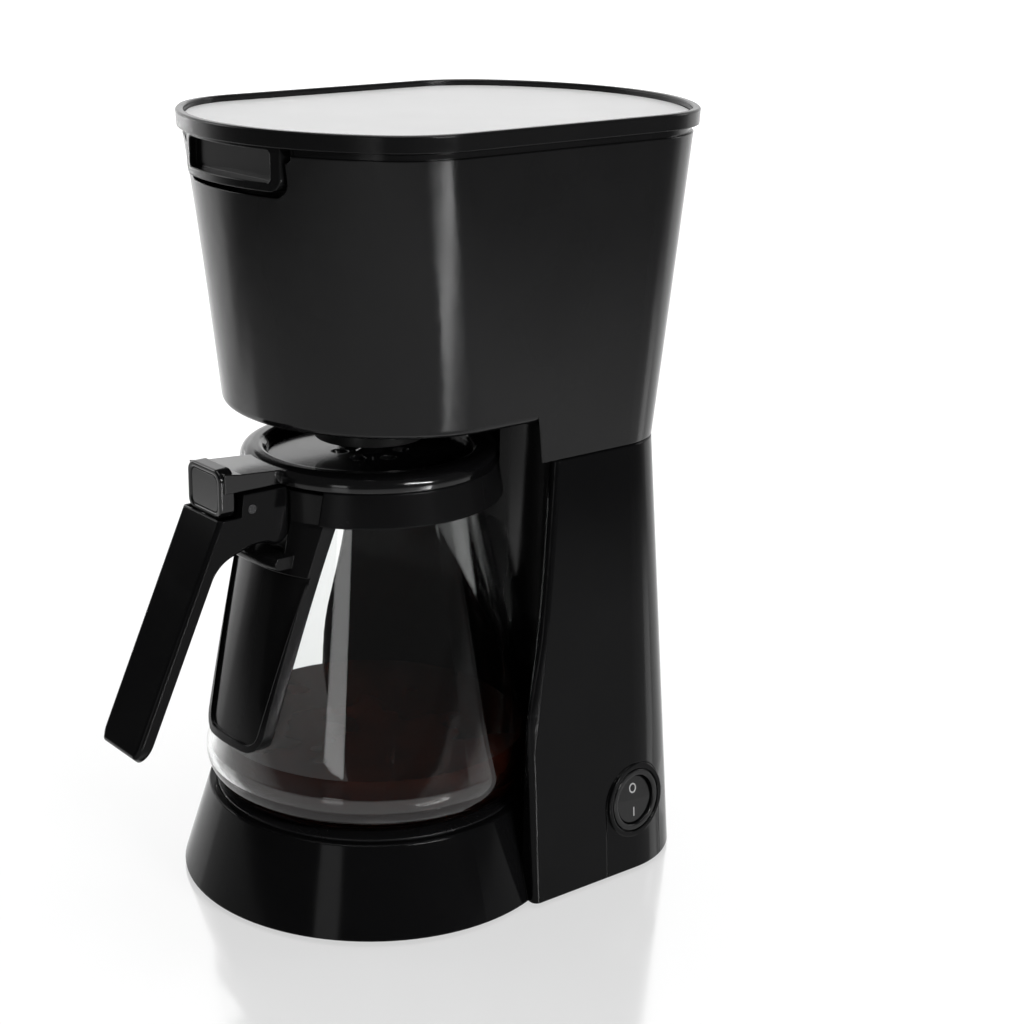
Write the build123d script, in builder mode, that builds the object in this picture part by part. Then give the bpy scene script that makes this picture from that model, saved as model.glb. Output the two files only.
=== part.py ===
from build123d import *
from dataclasses import dataclass
import math
import os

os.makedirs("parts", exist_ok=True)

# Drip coffee maker in millimetres: +Z up, -Y to the front (handle and lid tab), +X to the switch side.

# Heights above the surface it stands on
foot_height = 2.0
rim_height = 34.5
plate_proud = 0.5
leg_drop = 15.5
chamber_height = 94.0
lid_gap = 0.4
lid_thickness = 5.6
rim_step_height = 2.2
rim_step_depth = 1.4

# Plan of the body, measured from the carafe's axis
body_half_width = 72.0
body_front = 62.5
body_rear = 122.0
front_straight = -12.0
rear_straight = 71.5
body_corner = 38.0
lid_overhang = 2.0
waist_inset = 12.5
waist_front = 49.5
waist_bow = 3.0
waist_bow_half_width = 9.5

# Walls and clearances
wall = 2.5
gap = 0.3
running_gap = 0.05
underside_round = 3.0
edge_round = 0.8
seam_bevel = 0.5
column_round = 2.5

# Base and the bay that holds the carafe
drum_radius = 71.4
rim_radius = 61.3
rim_thickness = 3.0
recess_radius = 67.0
column_front = 22.0
neck_half_width = 40.0
neck_height = 13.0
cover_thickness = 2.5
foot_radius = 7.0
boss_radius = 4.5
boss_height = 9.0
boss_bite = 1.6
screw_radius = 1.5
screw_head_radius = 3.0
screw_head_height = 1.6

# Warming plate and heater
plate_radius = 58.2
plate_thickness = 1.6
plate_hole_radius = 55.0
plate_seat_depth = 2.0
stud_radius = 2.5
stud_length = 20.0
heater_radius = 38.0
heater_width = 14.0
heater_height = 11.5
heater_gap_angle = 80.0
tube_radius = 4.0
tube_wall = 1.0
stub_reach = 58.0
strap_width = 16.0
strap_thickness = 2.5
nut_height = 4.0
nut_across = 8.0

# Water path
hose_wall = 2.0
hose_bend = 15.0
hose_overlap = 12.0
water_line_y = 85.0
valve_radius = 7.0
valve_height = 16.0
valve_drop = 31.0
riser_joint_height = 60.0
tank_front = 54.0
tank_wall = 2.0
tank_gap = 0.8
tank_drop = 15.0
nozzle_drop = 7.0
nozzle_end = 43.0
nozzle_bend = 12.0
grommet_radius = 6.5

# Lid
lid_rim_width = 3.0
panel_thickness = 1.5
panel_drop = 2.2
lip_inset = 6.0
lip_depth = 3.4
lip_rear_end = 95.0
tab_half_width = 29.0
tab_height = 14.5
tab_depth = 11.0
tab_frame = 2.8
tab_corner = 4.5
tab_gap = 1.2
tab_gap_below = 2.2
notch_flare = 2.5
hinge_y = 116.5
hinge_drop = 5.0
hinge_radius = 4.5
hinge_pin_radius = 1.5
knuckle_half_width = 11.0
ear_width = 5.0
hinge_notch_half_width = 26.0
shower_radius = 34.0
shower_depth = 9.4
shower_wall = 1.5
shower_arm_width = 11.0
shower_hole_radius = 1.2

# Brew basket, permanent filter and drip stop
hub_radius = 20.0
hub_drop = 12.5
basket_drop = 19.0
basket_radius = 46.0
basket_wall = 2.0
basket_shoulder = 26.0
filter_ring_height = 3.0
filter_ring_width = 5.5
filter_foot_gap = 20.0
filter_bottom_radius = 20.0
filter_bar = 2.4
filter_bar_count = 8
filter_hoop_count = 2
mesh_thickness = 0.5
spider_thickness = 2.0
stem_radius = 4.0
valve_head_radius = 8.0
valve_head_height = 3.0
valve_open = 2.5
seal_height = 1.2
spring_radius = 6.5
spring_wire = 0.8
tip_reach = 1.6

# Carafe
glass_radius = 62.0
glass_lean = 12.8
glass_corner = 13.4
glass_wall = 2.4
glass_neck_height = 146.5
glass_neck_length = 12.0
collar_foot_width = 8.45
collar_top_width = 6.45
collar_cover = 0.7
spout_half_width = 17.0
spout_tip_half_width = 5.0
spout_length = 16.45
spout_drop = 5.5
spout_rise = 3.8
spout_wall = 2.0
carafe_lid_overlap = 6.95
carafe_lid_thickness = 2.0
carafe_lid_rim = 6.0
carafe_lid_rim_width = 7.5
carafe_lid_round = 4.5
skirt_clear = 1.15
skirt_depth = 9.5
boss_rise = 6.6
boss_top_radius = 2.5
boss_foot_height = 1.5
inlet_hole_radius = 3.0
inlet_hole_circle = 11.0

# Handle
handle_reach = 107.5
handle_width = 25.0
grip_lift = 33.1
grip_end = 4.5
grip_end_round = 1.6
grip_corner = 8.5
grip_edge = 1.6
throat_reach = 13.7
throat_round = 14.0
arch_drop = 13.4
arch_half_width = 3.0
arch_round = 6.0
root_drop = 18.0
root_round = 5.0
root_clear = 3.15
pivot_reach = 15.1
pivot_drop = 5.9
pivot_pin_radius = 1.7
lug_half_width = 6.0
lug_radius = 5.0
arm_half_width = 11.5
arm_height = 6.0
arm_reach = 10.2
arm_step = 3.5
pad_half_width = 12.0
pad_thickness = 7.0
pad_rise = 8.8
pad_height = 17.5
pad_proud = 1.5
pad_inset_depth = 1.2
pad_inset_border = 2.2
shield_thickness = 5.0
shield_half_width = 26.0
shield_foot_half_width = 17.5
shield_lift = 28.0
shield_top_drop = 1.7
shield_corner = 8.0
shield_border = 2.6
shield_recess = 1.2
cradle_drop = 28.7
cradle_floor = 4.5
cradle_width = 15.0
cradle_half_width = 17.0
cradle_round = 2.0

# Switch
switch_y = 72.0
switch_turn = 5.0
switch_sink = 0.9
switch_height = 29.0
bezel_radius = 11.8
bezel_proud = 1.0
bezel_barrel = 10.6
bezel_depth = 9.0
surround_radius = 14.5
surround_width = 2.2
surround_proud = 1.0
rocker_radius = 9.0
rocker_thickness = 5.0
rocker_tilt = 8.0
rocker_axis_depth = 2.4
rocker_pin_radius = 1.2
switch_body_length = 12.0
panel_gap = 0.25

# Cord gland
gland_height = 18.0
gland_flange = 9.0
gland_flange_thickness = 2.0
gland_radius = 6.5
gland_bore = 3.6
gland_length = 16.0

# Worked-out places
axis_y = (handle_reach - body_rear) / 2
base_bottom = foot_height
plate_top = rim_height + plate_proud
plate_seat_height = rim_height - plate_seat_depth
plate_bottom = plate_top - plate_thickness
carafe_bottom = plate_top
glass_top = glass_neck_height + glass_neck_length
collar_top = glass_top + collar_cover
lid_low = collar_top + gap
plunger_tip = lid_low + boss_rise + gap
hub_bottom = plunger_tip + tip_reach
underside_height = hub_bottom + hub_drop
waist_height = underside_height - leg_drop
floor_top = underside_height + wall
head_top = floor_top + chamber_height
lid_bottom = head_top + lid_gap
lid_top = lid_bottom + lid_thickness
hinge_height = head_top - hinge_drop
tab_bottom = lid_bottom - tab_height
tank_top = head_top - tank_drop
nozzle_height = head_top - nozzle_drop
basket_top = head_top - basket_drop
valve_bottom = floor_top - valve_drop
filter_bottom = floor_top + filter_foot_gap
waist_half_width = body_half_width - waist_inset
carafe_axis = Axis((0, axis_y, 0), (0, 0, 1))
far = 200.0


@dataclass
class Plan:
    """Plan outline with straight sides, bowed ends and round corners, measured from the carafe's axis."""
    half_width: float
    front: float
    front_straight: float
    front_corner: float
    rear: float
    rear_straight: float
    rear_corner: float

    def inset(self, depth):
        return Plan(self.half_width - depth, self.front - depth, self.front_straight, self.front_corner - depth,
                    self.rear - depth, self.rear_straight, self.rear_corner - depth)

    def towards(self, other, share):
        mine = vars(self)
        theirs = vars(other)
        return Plan(*[mine[key] + (theirs[key] - mine[key]) * share for key in mine])


floor_plan = Plan(body_half_width, body_front, front_straight, body_corner, body_rear, rear_straight, body_corner)
waist_plan = Plan(waist_half_width, waist_front, waist_half_width - waist_bow - waist_front,
                  waist_half_width - waist_bow_half_width, body_rear - waist_inset, rear_straight,
                  body_corner - waist_inset)
head_plan_top = floor_plan.inset(lid_overhang)


def head_plan(z):
    return waist_plan.towards(head_plan_top, (z - waist_height) / (head_top - waist_height))


def column_plan(z):
    return floor_plan.towards(waist_plan, (z - base_bottom) / (waist_height - base_bottom))


def level(z):
    """Plane parallel to the table, centred on the carafe's axis."""
    return Plane((0, axis_y, z))


def section(angle=0):
    """Upright plane through the carafe's axis: x is the radius and y the height."""
    turn = math.radians(angle)
    return Plane((0, axis_y, 0), x_dir=(math.cos(turn), math.sin(turn), 0),
                 z_dir=(math.sin(turn), -math.cos(turn), 0))


def profile(x=0):
    """Upright plane along the depth: x is the distance behind the carafe's axis and y the height."""
    return Plane((x, axis_y, 0), x_dir=(0, 1, 0), z_dir=(1, 0, 0))


def at(x, y, z):
    return Locations((x, axis_y + y, z))


def end_points(half_width, reach, straight, corner, side):
    """Middle of a corner arc and the point where it meets the bowed end; side is -1 in front and 1 behind."""
    depth = reach - side * straight
    bow = ((half_width - corner) ** 2 + depth ** 2 - corner ** 2) / (2 * (depth - corner))
    bow_centre = Vector(0, side * (reach - bow))
    corner_centre = Vector(half_width - corner, straight)
    outward = (corner_centre - bow_centre).normalized()
    middle = corner_centre + (Vector(1, 0) + outward).normalized() * corner
    return middle, bow_centre + outward * bow


def flipped(point):
    return Vector(-point.X, point.Y)


def draw(plan):
    """Draw a plan outline as a face in the active sketch."""
    front_middle, front_meet = end_points(plan.half_width, plan.front, plan.front_straight, plan.front_corner, -1)
    rear_middle, rear_meet = end_points(plan.half_width, plan.rear, plan.rear_straight, plan.rear_corner, 1)
    right_front = Vector(plan.half_width, plan.front_straight)
    right_rear = Vector(plan.half_width, plan.rear_straight)
    with BuildLine() as outline:
        Line(right_front, right_rear)
        ThreePointArc(right_rear, rear_middle, rear_meet)
        ThreePointArc(rear_meet, (0, plan.rear), flipped(rear_meet))
        ThreePointArc(flipped(rear_meet), flipped(rear_middle), flipped(right_rear))
        Line(flipped(right_rear), flipped(right_front))
        ThreePointArc(flipped(right_front), flipped(front_middle), flipped(front_meet))
        ThreePointArc(flipped(front_meet), (0, -plan.front), front_meet)
        ThreePointArc(front_meet, front_middle, right_front)
    make_face(outline.edges())


def body_loft(lower, lower_z, upper, upper_z, mode=Mode.ADD):
    with BuildSketch(level(lower_z)) as lower_face:
        draw(lower)
    with BuildSketch(level(upper_z)) as upper_face:
        draw(upper)
    loft([lower_face.sketch, upper_face.sketch], ruled=True, mode=mode)


def clear_bay(extra, low, high):
    """Remove the space in front of the column, where the carafe stands."""
    with BuildSketch(level(low)) as space:
        Circle(recess_radius + extra)
        with Locations((0, column_front + extra)):
            Rectangle(2 * far, far, align=(Align.CENTER, Align.MAX))
    extrude(space.sketch, amount=high - low, mode=Mode.SUBTRACT)


def ring(inner, outer, low, high, mode=Mode.ADD):
    with BuildSketch(level(low)) as face:
        Circle(outer)
        if inner > 0:
            Circle(inner, mode=Mode.SUBTRACT)
    extrude(face.sketch, amount=high - low, mode=mode)


def turned(*points, mode=Mode.ADD):
    """Turn a polygon of radius and height points about the carafe's axis."""
    with BuildSketch(section()) as face:
        with BuildLine():
            Polyline(*points, close=True)
        make_face()
    revolve(face.sketch, axis=carafe_axis, mode=mode)


# Base housing: round drum under the carafe and the hollow column behind it
cover_top = base_bottom + cover_thickness
ceiling = rim_height - rim_thickness
boss_top = cover_top + gap + boss_height
drum_lean = (drum_radius - rim_radius) / (ceiling - base_bottom)
boss_circle = drum_radius - wall - drum_lean * (boss_top - base_bottom) - boss_radius + boss_bite
boss_spots = [(side * math.sqrt(0.5) * boss_circle, -math.sqrt(0.5) * boss_circle) for side in (-1, 1)]
boss_spots += [(side * (body_half_width - 10), rear_straight + 14.5) for side in (-1, 1)]
head_screw_x = waist_half_width - wall - 3.8
head_screw_spots = [(side * head_screw_x, y) for side in (-1, 1) for y in (rear_straight - 14, rear_straight + 6)]
head_boss_height = 12.0
stub_x = heater_radius * math.cos(math.radians(90 - heater_gap_angle / 2))
hose_radius = tube_radius + running_gap + hose_wall
stub_height = ceiling - hose_radius - 1.4
doorway_half_width = stub_x + hose_radius + 2
side_lean = math.degrees(math.atan(waist_inset / (waist_height - base_bottom)))
switch_x = column_plan(switch_height).half_width
lean_cos = math.cos(math.radians(side_lean))
turn_cos = math.cos(math.radians(switch_turn))
turn_sin = math.sin(math.radians(switch_turn))
switch_plane = Plane((switch_x - switch_sink, axis_y + switch_y, switch_height), x_dir=(-turn_sin, turn_cos, 0),
                     z_dir=(lean_cos * turn_cos, lean_cos * turn_sin, math.sin(math.radians(side_lean))))
switch_axis = Axis(switch_plane.origin, switch_plane.z_dir)
gland_rear = column_plan(gland_height).rear


def panel_outline(extra):
    """Outline of the switch insert, seen from the side: a round top and straight edges down to the table."""
    with BuildSketch(profile(waist_half_width)) as face:
        with Locations((switch_y, switch_height)):
            Circle(surround_radius + extra)
        with Locations((switch_y, switch_height)):
            Rectangle(2 * (surround_radius + extra), switch_height, align=(Align.CENTER, Align.MAX))
    return face.sketch


with BuildPart() as column_cavity:
    body_loft(floor_plan.inset(wall), base_bottom, waist_plan.inset(wall), waist_height)
    clear_bay(wall, base_bottom, waist_height)

with BuildPart() as base_shell:
    body_loft(floor_plan, base_bottom, waist_plan, waist_height)
    clear_bay(0, base_bottom, waist_height)
    bay_edges = base_shell.edges().filter_by(lambda edge: edge.length > column_front)
    bay_edges = bay_edges.filter_by(lambda edge: base_bottom < edge.center().Z < waist_height)
    fillet(bay_edges.group_by(Axis.Y)[0] + bay_edges.group_by(Axis.Y)[1], column_round)
    chamfer(base_shell.faces().sort_by(Axis.Z)[-1].edges(), seam_bevel)
    with BuildSketch(section()) as drum_profile:
        with BuildLine():
            Polyline((0, base_bottom), (drum_radius, base_bottom), (rim_radius, rim_height), (0, rim_height), close=True)
        make_face()
        fillet(drum_profile.vertices().sort_by_distance((rim_radius, rim_height))[0], edge_round)
    revolve(axis=carafe_axis)
    with at(0, 0, base_bottom):
        Box(2 * neck_half_width, recess_radius + wall, neck_height - base_bottom,
            align=(Align.CENTER, Align.MIN, Align.MIN))
    add(column_cavity.part, mode=Mode.SUBTRACT)
    turned((0, base_bottom), (drum_radius - wall, base_bottom), (rim_radius - wall, ceiling), (0, ceiling),
           mode=Mode.SUBTRACT)

with BuildPart() as base_housing:
    add(base_shell.part)
    with BuildSketch(level(base_bottom)):
        draw(floor_plan.inset(wall))
        with Locations((0, column_front + wall)):
            Rectangle(2 * far, far, align=(Align.CENTER, Align.MAX), mode=Mode.SUBTRACT)
    extrude(amount=cover_thickness + gap, mode=Mode.SUBTRACT)
    with at(0, stub_reach - 1.5 * hose_overlap, base_bottom):
        Box(2 * doorway_half_width, water_line_y - stub_reach + 1.5 * hose_overlap, ceiling - base_bottom,
            align=(Align.CENTER, Align.MIN, Align.MIN), mode=Mode.SUBTRACT)
    ring(0, plate_hole_radius, ceiling, rim_height, mode=Mode.SUBTRACT)
    ring(0, plate_radius + gap, plate_seat_height, rim_height, mode=Mode.SUBTRACT)
    with BuildSketch(level(cover_top + gap)):
        with Locations(*boss_spots):
            Circle(boss_radius)
            Circle(screw_radius + running_gap, mode=Mode.SUBTRACT)
    extrude(amount=boss_height)
    with BuildSketch(level(waist_height - head_boss_height)):
        with Locations(*head_screw_spots):
            Circle(boss_radius)
            Circle(screw_radius + gap, mode=Mode.SUBTRACT)
    extrude(amount=head_boss_height)
    extrude(panel_outline(panel_gap), amount=far, mode=Mode.SUBTRACT)
    with BuildSketch(Plane((0, axis_y + gland_rear, gland_height), x_dir=(1, 0, 0), z_dir=(0, 1, 0))):
        Circle(gland_flange + gap)
    extrude(amount=wall, both=True, mode=Mode.SUBTRACT)
    with BuildSketch(Plane((0, axis_y + gland_rear - wall, gland_height), x_dir=(1, 0, 0), z_dir=(0, 1, 0))):
        Circle(gland_flange + gap + wall)
    extrude(amount=-wall)
    with BuildSketch(Plane((0, axis_y + gland_rear, gland_height), x_dir=(1, 0, 0), z_dir=(0, 1, 0))):
        Circle(gland_radius + gap)
    extrude(amount=3 * wall, both=True, mode=Mode.SUBTRACT)
base_housing.part.label = "base_housing"
export_step(base_housing.part, "parts/base_housing.step")

# Switch insert, bezel, switch body and rocker
with BuildPart() as switch_panel:
    add(base_shell.part)
    extrude(panel_outline(0), amount=far, mode=Mode.INTERSECT)
    with BuildSketch(switch_plane.offset(-wall / 2)):
        Circle(surround_radius - panel_gap)
        Circle(surround_radius - surround_width, mode=Mode.SUBTRACT)
    extrude(amount=wall / 2 + surround_proud)
    fillet(switch_panel.faces().sort_by(switch_axis)[-1].edges(), surround_proud / 3)
    with BuildSketch(switch_plane):
        Circle(surround_radius - surround_width)
    extrude(amount=far / 4, mode=Mode.SUBTRACT)
    with BuildSketch(switch_plane.offset(-far / 4)):
        Circle(bezel_barrel + gap)
    extrude(amount=far / 2, mode=Mode.SUBTRACT)
switch_panel.part.label = "switch_panel"
export_step(switch_panel.part, "parts/switch_panel.step")

rocker_hole = rocker_radius + 0.6
rocker_plane = switch_plane.offset(-rocker_axis_depth)
with BuildPart() as switch_bezel:
    with BuildSketch(switch_plane):
        Circle(bezel_radius)
        Circle(rocker_hole, mode=Mode.SUBTRACT)
    extrude(amount=bezel_proud)
    with BuildSketch(switch_plane):
        Circle(bezel_barrel)
        Circle(rocker_hole, mode=Mode.SUBTRACT)
    extrude(amount=-bezel_depth)
    with BuildSketch(Plane(rocker_plane.origin, x_dir=rocker_plane.y_dir, z_dir=rocker_plane.x_dir)):
        Circle(rocker_pin_radius + running_gap)
    extrude(amount=bezel_radius, both=True, mode=Mode.SUBTRACT)
    fillet(switch_bezel.faces().sort_by(switch_axis)[-1].edges(), bezel_proud / 2)
switch_bezel.part.label = "switch_bezel"
export_step(switch_bezel.part, "parts/switch_bezel.step")

tilted = rocker_plane.rotated((-rocker_tilt, 0, 0))
with BuildPart() as rocker:
    with BuildSketch(tilted.offset(-rocker_thickness / 2)):
        Circle(rocker_radius)
    extrude(amount=rocker_thickness)
    with BuildSketch(Plane(tilted.origin, x_dir=tilted.y_dir, z_dir=tilted.x_dir)):
        with BuildLine():
            Polyline((0, rocker_thickness / 2), (far, rocker_thickness / 2),
                     (far, rocker_thickness / 2 - far * math.tan(math.radians(rocker_tilt))), close=True)
        make_face()
    extrude(amount=far, both=True, mode=Mode.SUBTRACT)
    with BuildSketch(Plane(rocker_plane.origin, x_dir=rocker_plane.y_dir, z_dir=rocker_plane.x_dir)):
        Circle(rocker_pin_radius)
    extrude(amount=bezel_barrel - gap, both=True)
rocker.part.label = "rocker"
export_step(rocker.part, "parts/rocker.step")

with BuildPart() as switch_body:
    with BuildSketch(switch_plane.offset(-bezel_depth)):
        Circle(bezel_barrel)
    extrude(amount=-switch_body_length)
    with BuildSketch(switch_plane.offset(-bezel_depth - switch_body_length)):
        with GridLocations(0, 7, 1, 2):
            Rectangle(0.8, 5)
    extrude(amount=-7)
switch_body.part.label = "switch_body"
export_step(switch_body.part, "parts/switch_body.step")

# Cord gland in the rear wall
with BuildPart() as cord_gland:
    gland_plane = Plane((0, axis_y + gland_rear - wall, gland_height), x_dir=(1, 0, 0), z_dir=(0, 1, 0))
    with BuildSketch(gland_plane):
        Circle(gland_flange)
    extrude(amount=gland_flange_thickness)
    with BuildSketch(gland_plane):
        Circle(gland_radius)
    extrude(amount=gland_flange_thickness - gland_length)
    with BuildSketch(gland_plane.offset(gland_flange_thickness)):
        Circle(gland_bore)
    extrude(amount=-gland_length, mode=Mode.SUBTRACT)
cord_gland.part.label = "cord_gland"
export_step(cord_gland.part, "parts/cord_gland.step")

# Bottom cover, feet and screws
foot_spots = [(-28, -50), (28, -50), (-46, 92), (46, 92)]
cover_gap = 1.2
with BuildPart() as bottom_cover:
    with BuildSketch(level(base_bottom)):
        draw(floor_plan.inset(wall + gap))
        with Locations((0, column_front + wall + gap)):
            Rectangle(2 * far, far, align=(Align.CENTER, Align.MAX), mode=Mode.SUBTRACT)
        Circle(drum_radius - wall - cover_gap)
        with Locations(*boss_spots):
            Circle(screw_radius + gap, mode=Mode.SUBTRACT)
        with Locations((switch_x, switch_y)):
            Rectangle(4 * wall + 2 * gap, 2 * (surround_radius + 1), mode=Mode.SUBTRACT)
    extrude(amount=cover_thickness)
bottom_cover.part.label = "bottom_cover"
export_step(bottom_cover.part, "parts/bottom_cover.step")

with BuildPart() as feet:
    with BuildSketch(level(0)):
        with Locations(*foot_spots):
            Circle(foot_radius)
    extrude(amount=foot_height)
feet.part.label = "feet"
export_step(feet.part, "parts/feet.step")

with BuildPart() as cover_screws:
    with BuildSketch(level(base_bottom - screw_head_height)):
        with Locations(*boss_spots):
            Circle(screw_head_radius)
    extrude(amount=screw_head_height)
    with BuildSketch(level(base_bottom)):
        with Locations(*boss_spots):
            Circle(screw_radius)
    extrude(amount=cover_thickness + boss_height / 2)
cover_screws.part.label = "cover_screws"
export_step(cover_screws.part, "parts/cover_screws.step")

with BuildPart() as head_screws:
    with BuildSketch(level(waist_height - head_boss_height - screw_head_height)):
        with Locations(*head_screw_spots):
            Circle(screw_head_radius)
    extrude(amount=screw_head_height)
    with BuildSketch(level(waist_height - head_boss_height)):
        with Locations(*head_screw_spots):
            Circle(screw_radius)
    extrude(amount=head_boss_height * 1.7)
head_screws.part.label = "head_screws"
export_step(head_screws.part, "parts/head_screws.step")

# Warming plate on its silicone ring, with the heater strapped under it
with BuildPart() as plate_ring:
    ring(plate_hole_radius, plate_radius, plate_seat_height, plate_bottom)
plate_ring.part.label = "plate_ring"
export_step(plate_ring.part, "parts/plate_ring.step")

with BuildPart() as warming_plate:
    ring(0, plate_radius, plate_bottom, plate_top)
    ring(0, stud_radius, plate_bottom - stud_length, plate_bottom)
warming_plate.part.label = "warming_plate"
export_step(warming_plate.part, "parts/warming_plate.step")

heater_bottom = plate_bottom - heater_height
with BuildPart() as heater:
    with BuildSketch(section(90 + heater_gap_angle / 2)):
        with Locations((heater_radius, heater_bottom + heater_height / 2)):
            RectangleRounded(heater_width, heater_height, 2)
    revolve(axis=carafe_axis, revolution_arc=360 - heater_gap_angle)
    stub_start = heater_radius * math.sin(math.radians(90 - heater_gap_angle / 2)) - 4
    with BuildSketch(Plane((0, axis_y + stub_start, stub_height), x_dir=(-1, 0, 0), z_dir=(0, 1, 0))):
        with Locations((stub_x, 0), (-stub_x, 0)):
            Circle(tube_radius)
    extrude(amount=stub_reach - stub_start)
    with BuildSketch(Plane((0, axis_y + stub_reach, stub_height), x_dir=(-1, 0, 0), z_dir=(0, 1, 0))):
        with Locations((stub_x, 0), (-stub_x, 0)):
            Circle(tube_radius - tube_wall)
    extrude(amount=stub_start - stub_reach, mode=Mode.SUBTRACT)
heater.part.label = "heater"
export_step(heater.part, "parts/heater.step")

strap_length = 2 * heater_radius + heater_width
with BuildPart() as heater_clamp:
    with BuildSketch(level(heater_bottom - strap_thickness)):
        SlotOverall(strap_length, strap_width)
        Circle(stud_radius + gap, mode=Mode.SUBTRACT)
    extrude(amount=strap_thickness)
heater_clamp.part.label = "heater_clamp"
export_step(heater_clamp.part, "parts/heater_clamp.step")

with BuildPart() as clamp_nut:
    with BuildSketch(level(heater_bottom - strap_thickness - nut_height)):
        RegularPolygon(nut_across / 2, 6, major_radius=False)
        Circle(stud_radius + running_gap, mode=Mode.SUBTRACT)
    extrude(amount=nut_height)
clamp_nut.part.label = "clamp_nut"
export_step(clamp_nut.part, "parts/clamp_nut.step")

thermostat_radius = 8.0
thermostat_height = 6.0
with BuildPart() as thermostat:
    with BuildSketch(level(plate_bottom - thermostat_height)):
        with Locations((0, heater_radius - heater_width / 2 - thermostat_radius - 2)):
            Circle(thermostat_radius)
    extrude(amount=thermostat_height)
    with BuildSketch(level(plate_bottom - thermostat_height - 5)):
        with Locations((0, heater_radius - heater_width / 2 - thermostat_radius - 2)):
            with GridLocations(9, 0, 2, 1):
                Rectangle(0.8, 5)
    extrude(amount=5)
thermostat.part.label = "thermostat"
export_step(thermostat.part, "parts/thermostat.step")

fuse_radius = 2.0
fuse_length = 12.0
with BuildPart() as thermal_fuses:
    with BuildSketch(Plane((0, axis_y - heater_radius, heater_bottom - gap - fuse_radius), x_dir=(0, 1, 0),
                           z_dir=(1, 0, 0))):
        with GridLocations(6, 0, 2, 1):
            Circle(fuse_radius)
    extrude(amount=fuse_length / 2, both=True)
thermal_fuses.part.label = "thermal_fuses"
export_step(thermal_fuses.part, "parts/thermal_fuses.step")


# Hoses, check valve and riser
def hose_path(side, top):
    """Line from the heater's stub back and up to a height, on one side of the column."""
    start = (side * stub_x, axis_y + stub_reach - hose_overlap, stub_height)
    corner = (side * stub_x, axis_y + water_line_y, stub_height)
    end = (side * stub_x, axis_y + water_line_y, top)
    return FilletPolyline(start, corner, end, radius=hose_bend)


def hose(side, top):
    with BuildLine() as path:
        hose_path(side, top)
    with BuildSketch(Plane(path.line @ 0, z_dir=path.line % 0)) as end:
        Circle(hose_radius)
        Circle(hose_radius - hose_wall, mode=Mode.SUBTRACT)
    sweep(end.sketch, path=path.line)


with BuildPart() as inlet_hose:
    hose(1, valve_bottom)
inlet_hose.part.label = "inlet_hose"
export_step(inlet_hose.part, "parts/inlet_hose.step")

with BuildPart() as riser_hose:
    hose(-1, riser_joint_height)
riser_hose.part.label = "riser_hose"
export_step(riser_hose.part, "parts/riser_hose.step")

with BuildPart() as check_valve:
    with BuildSketch(level(valve_bottom)):
        with Locations((stub_x, water_line_y)):
            Circle(valve_radius)
    extrude(amount=valve_height)
    with BuildSketch(level(valve_bottom - hose_overlap)):
        with Locations((stub_x, water_line_y)):
            Circle(tube_radius)
    extrude(amount=hose_overlap)
    with BuildSketch(level(valve_bottom - hose_overlap)):
        with Locations((stub_x, water_line_y)):
            Circle(tube_radius - tube_wall)
    extrude(amount=hose_overlap + valve_height / 2, mode=Mode.SUBTRACT)
    with BuildSketch(level(valve_bottom + valve_height / 2)):
        with Locations((stub_x, water_line_y)):
            Circle(tube_radius + running_gap)
    extrude(amount=valve_height / 2, mode=Mode.SUBTRACT)
check_valve.part.label = "check_valve"
export_step(check_valve.part, "parts/check_valve.step")

with BuildPart() as riser_tube:
    with BuildLine() as riser_path:
        FilletPolyline((-stub_x, axis_y + water_line_y, riser_joint_height - hose_overlap),
                       (-stub_x, axis_y + water_line_y, nozzle_height),
                       (-stub_x, axis_y + nozzle_end, nozzle_height), radius=nozzle_bend)
    with BuildSketch(Plane(riser_path.line @ 0, z_dir=riser_path.line % 0)):
        Circle(tube_radius)
        Circle(tube_radius - tube_wall, mode=Mode.SUBTRACT)
    sweep(path=riser_path.line)
riser_tube.part.label = "riser_tube"
export_step(riser_tube.part, "parts/riser_tube.step")

clip_width = 5.0
clip_thickness = 0.8
clip_rise = hose_overlap / 2
clip_places = [(stub_x, water_line_y, valve_bottom - clip_rise, (0, 0, 1)),
               (-stub_x, water_line_y, riser_joint_height - clip_rise, (0, 0, 1)),
               (stub_x, stub_reach - clip_rise, stub_height, (0, 1, 0)),
               (-stub_x, stub_reach - clip_rise, stub_height, (0, 1, 0))]
with BuildPart() as hose_clips:
    for x, y, z, direction in clip_places:
        with BuildSketch(Plane((x, axis_y + y, z), z_dir=direction)):
            Circle(hose_radius + running_gap + clip_thickness)
            Circle(hose_radius + running_gap, mode=Mode.SUBTRACT)
        extrude(amount=clip_width / 2, both=True)
hose_clips.part.label = "hose_clips"
export_step(hose_clips.part, "parts/hose_clips.step")

# Head housing: tapered shell with the brew cavity in front and the tank behind
with BuildPart() as head_cavity:
    body_loft(waist_plan.inset(wall), waist_height, head_plan_top.inset(wall), head_top)
    clear_bay(wall, waist_height, floor_top)

step_height = head_top - rim_step_height
notch_half = tab_half_width + tab_gap
notch_bottom = tab_bottom - tab_gap_below
with BuildPart() as rim_step:
    with at(0, 0, step_height):
        Box(2 * far, 2 * far, 2 * rim_step_height, align=(Align.CENTER, Align.CENTER, Align.MIN))
    body_loft(head_plan_top.inset(rim_step_depth), step_height, head_plan_top.inset(rim_step_depth), lid_top,
              mode=Mode.SUBTRACT)

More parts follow.
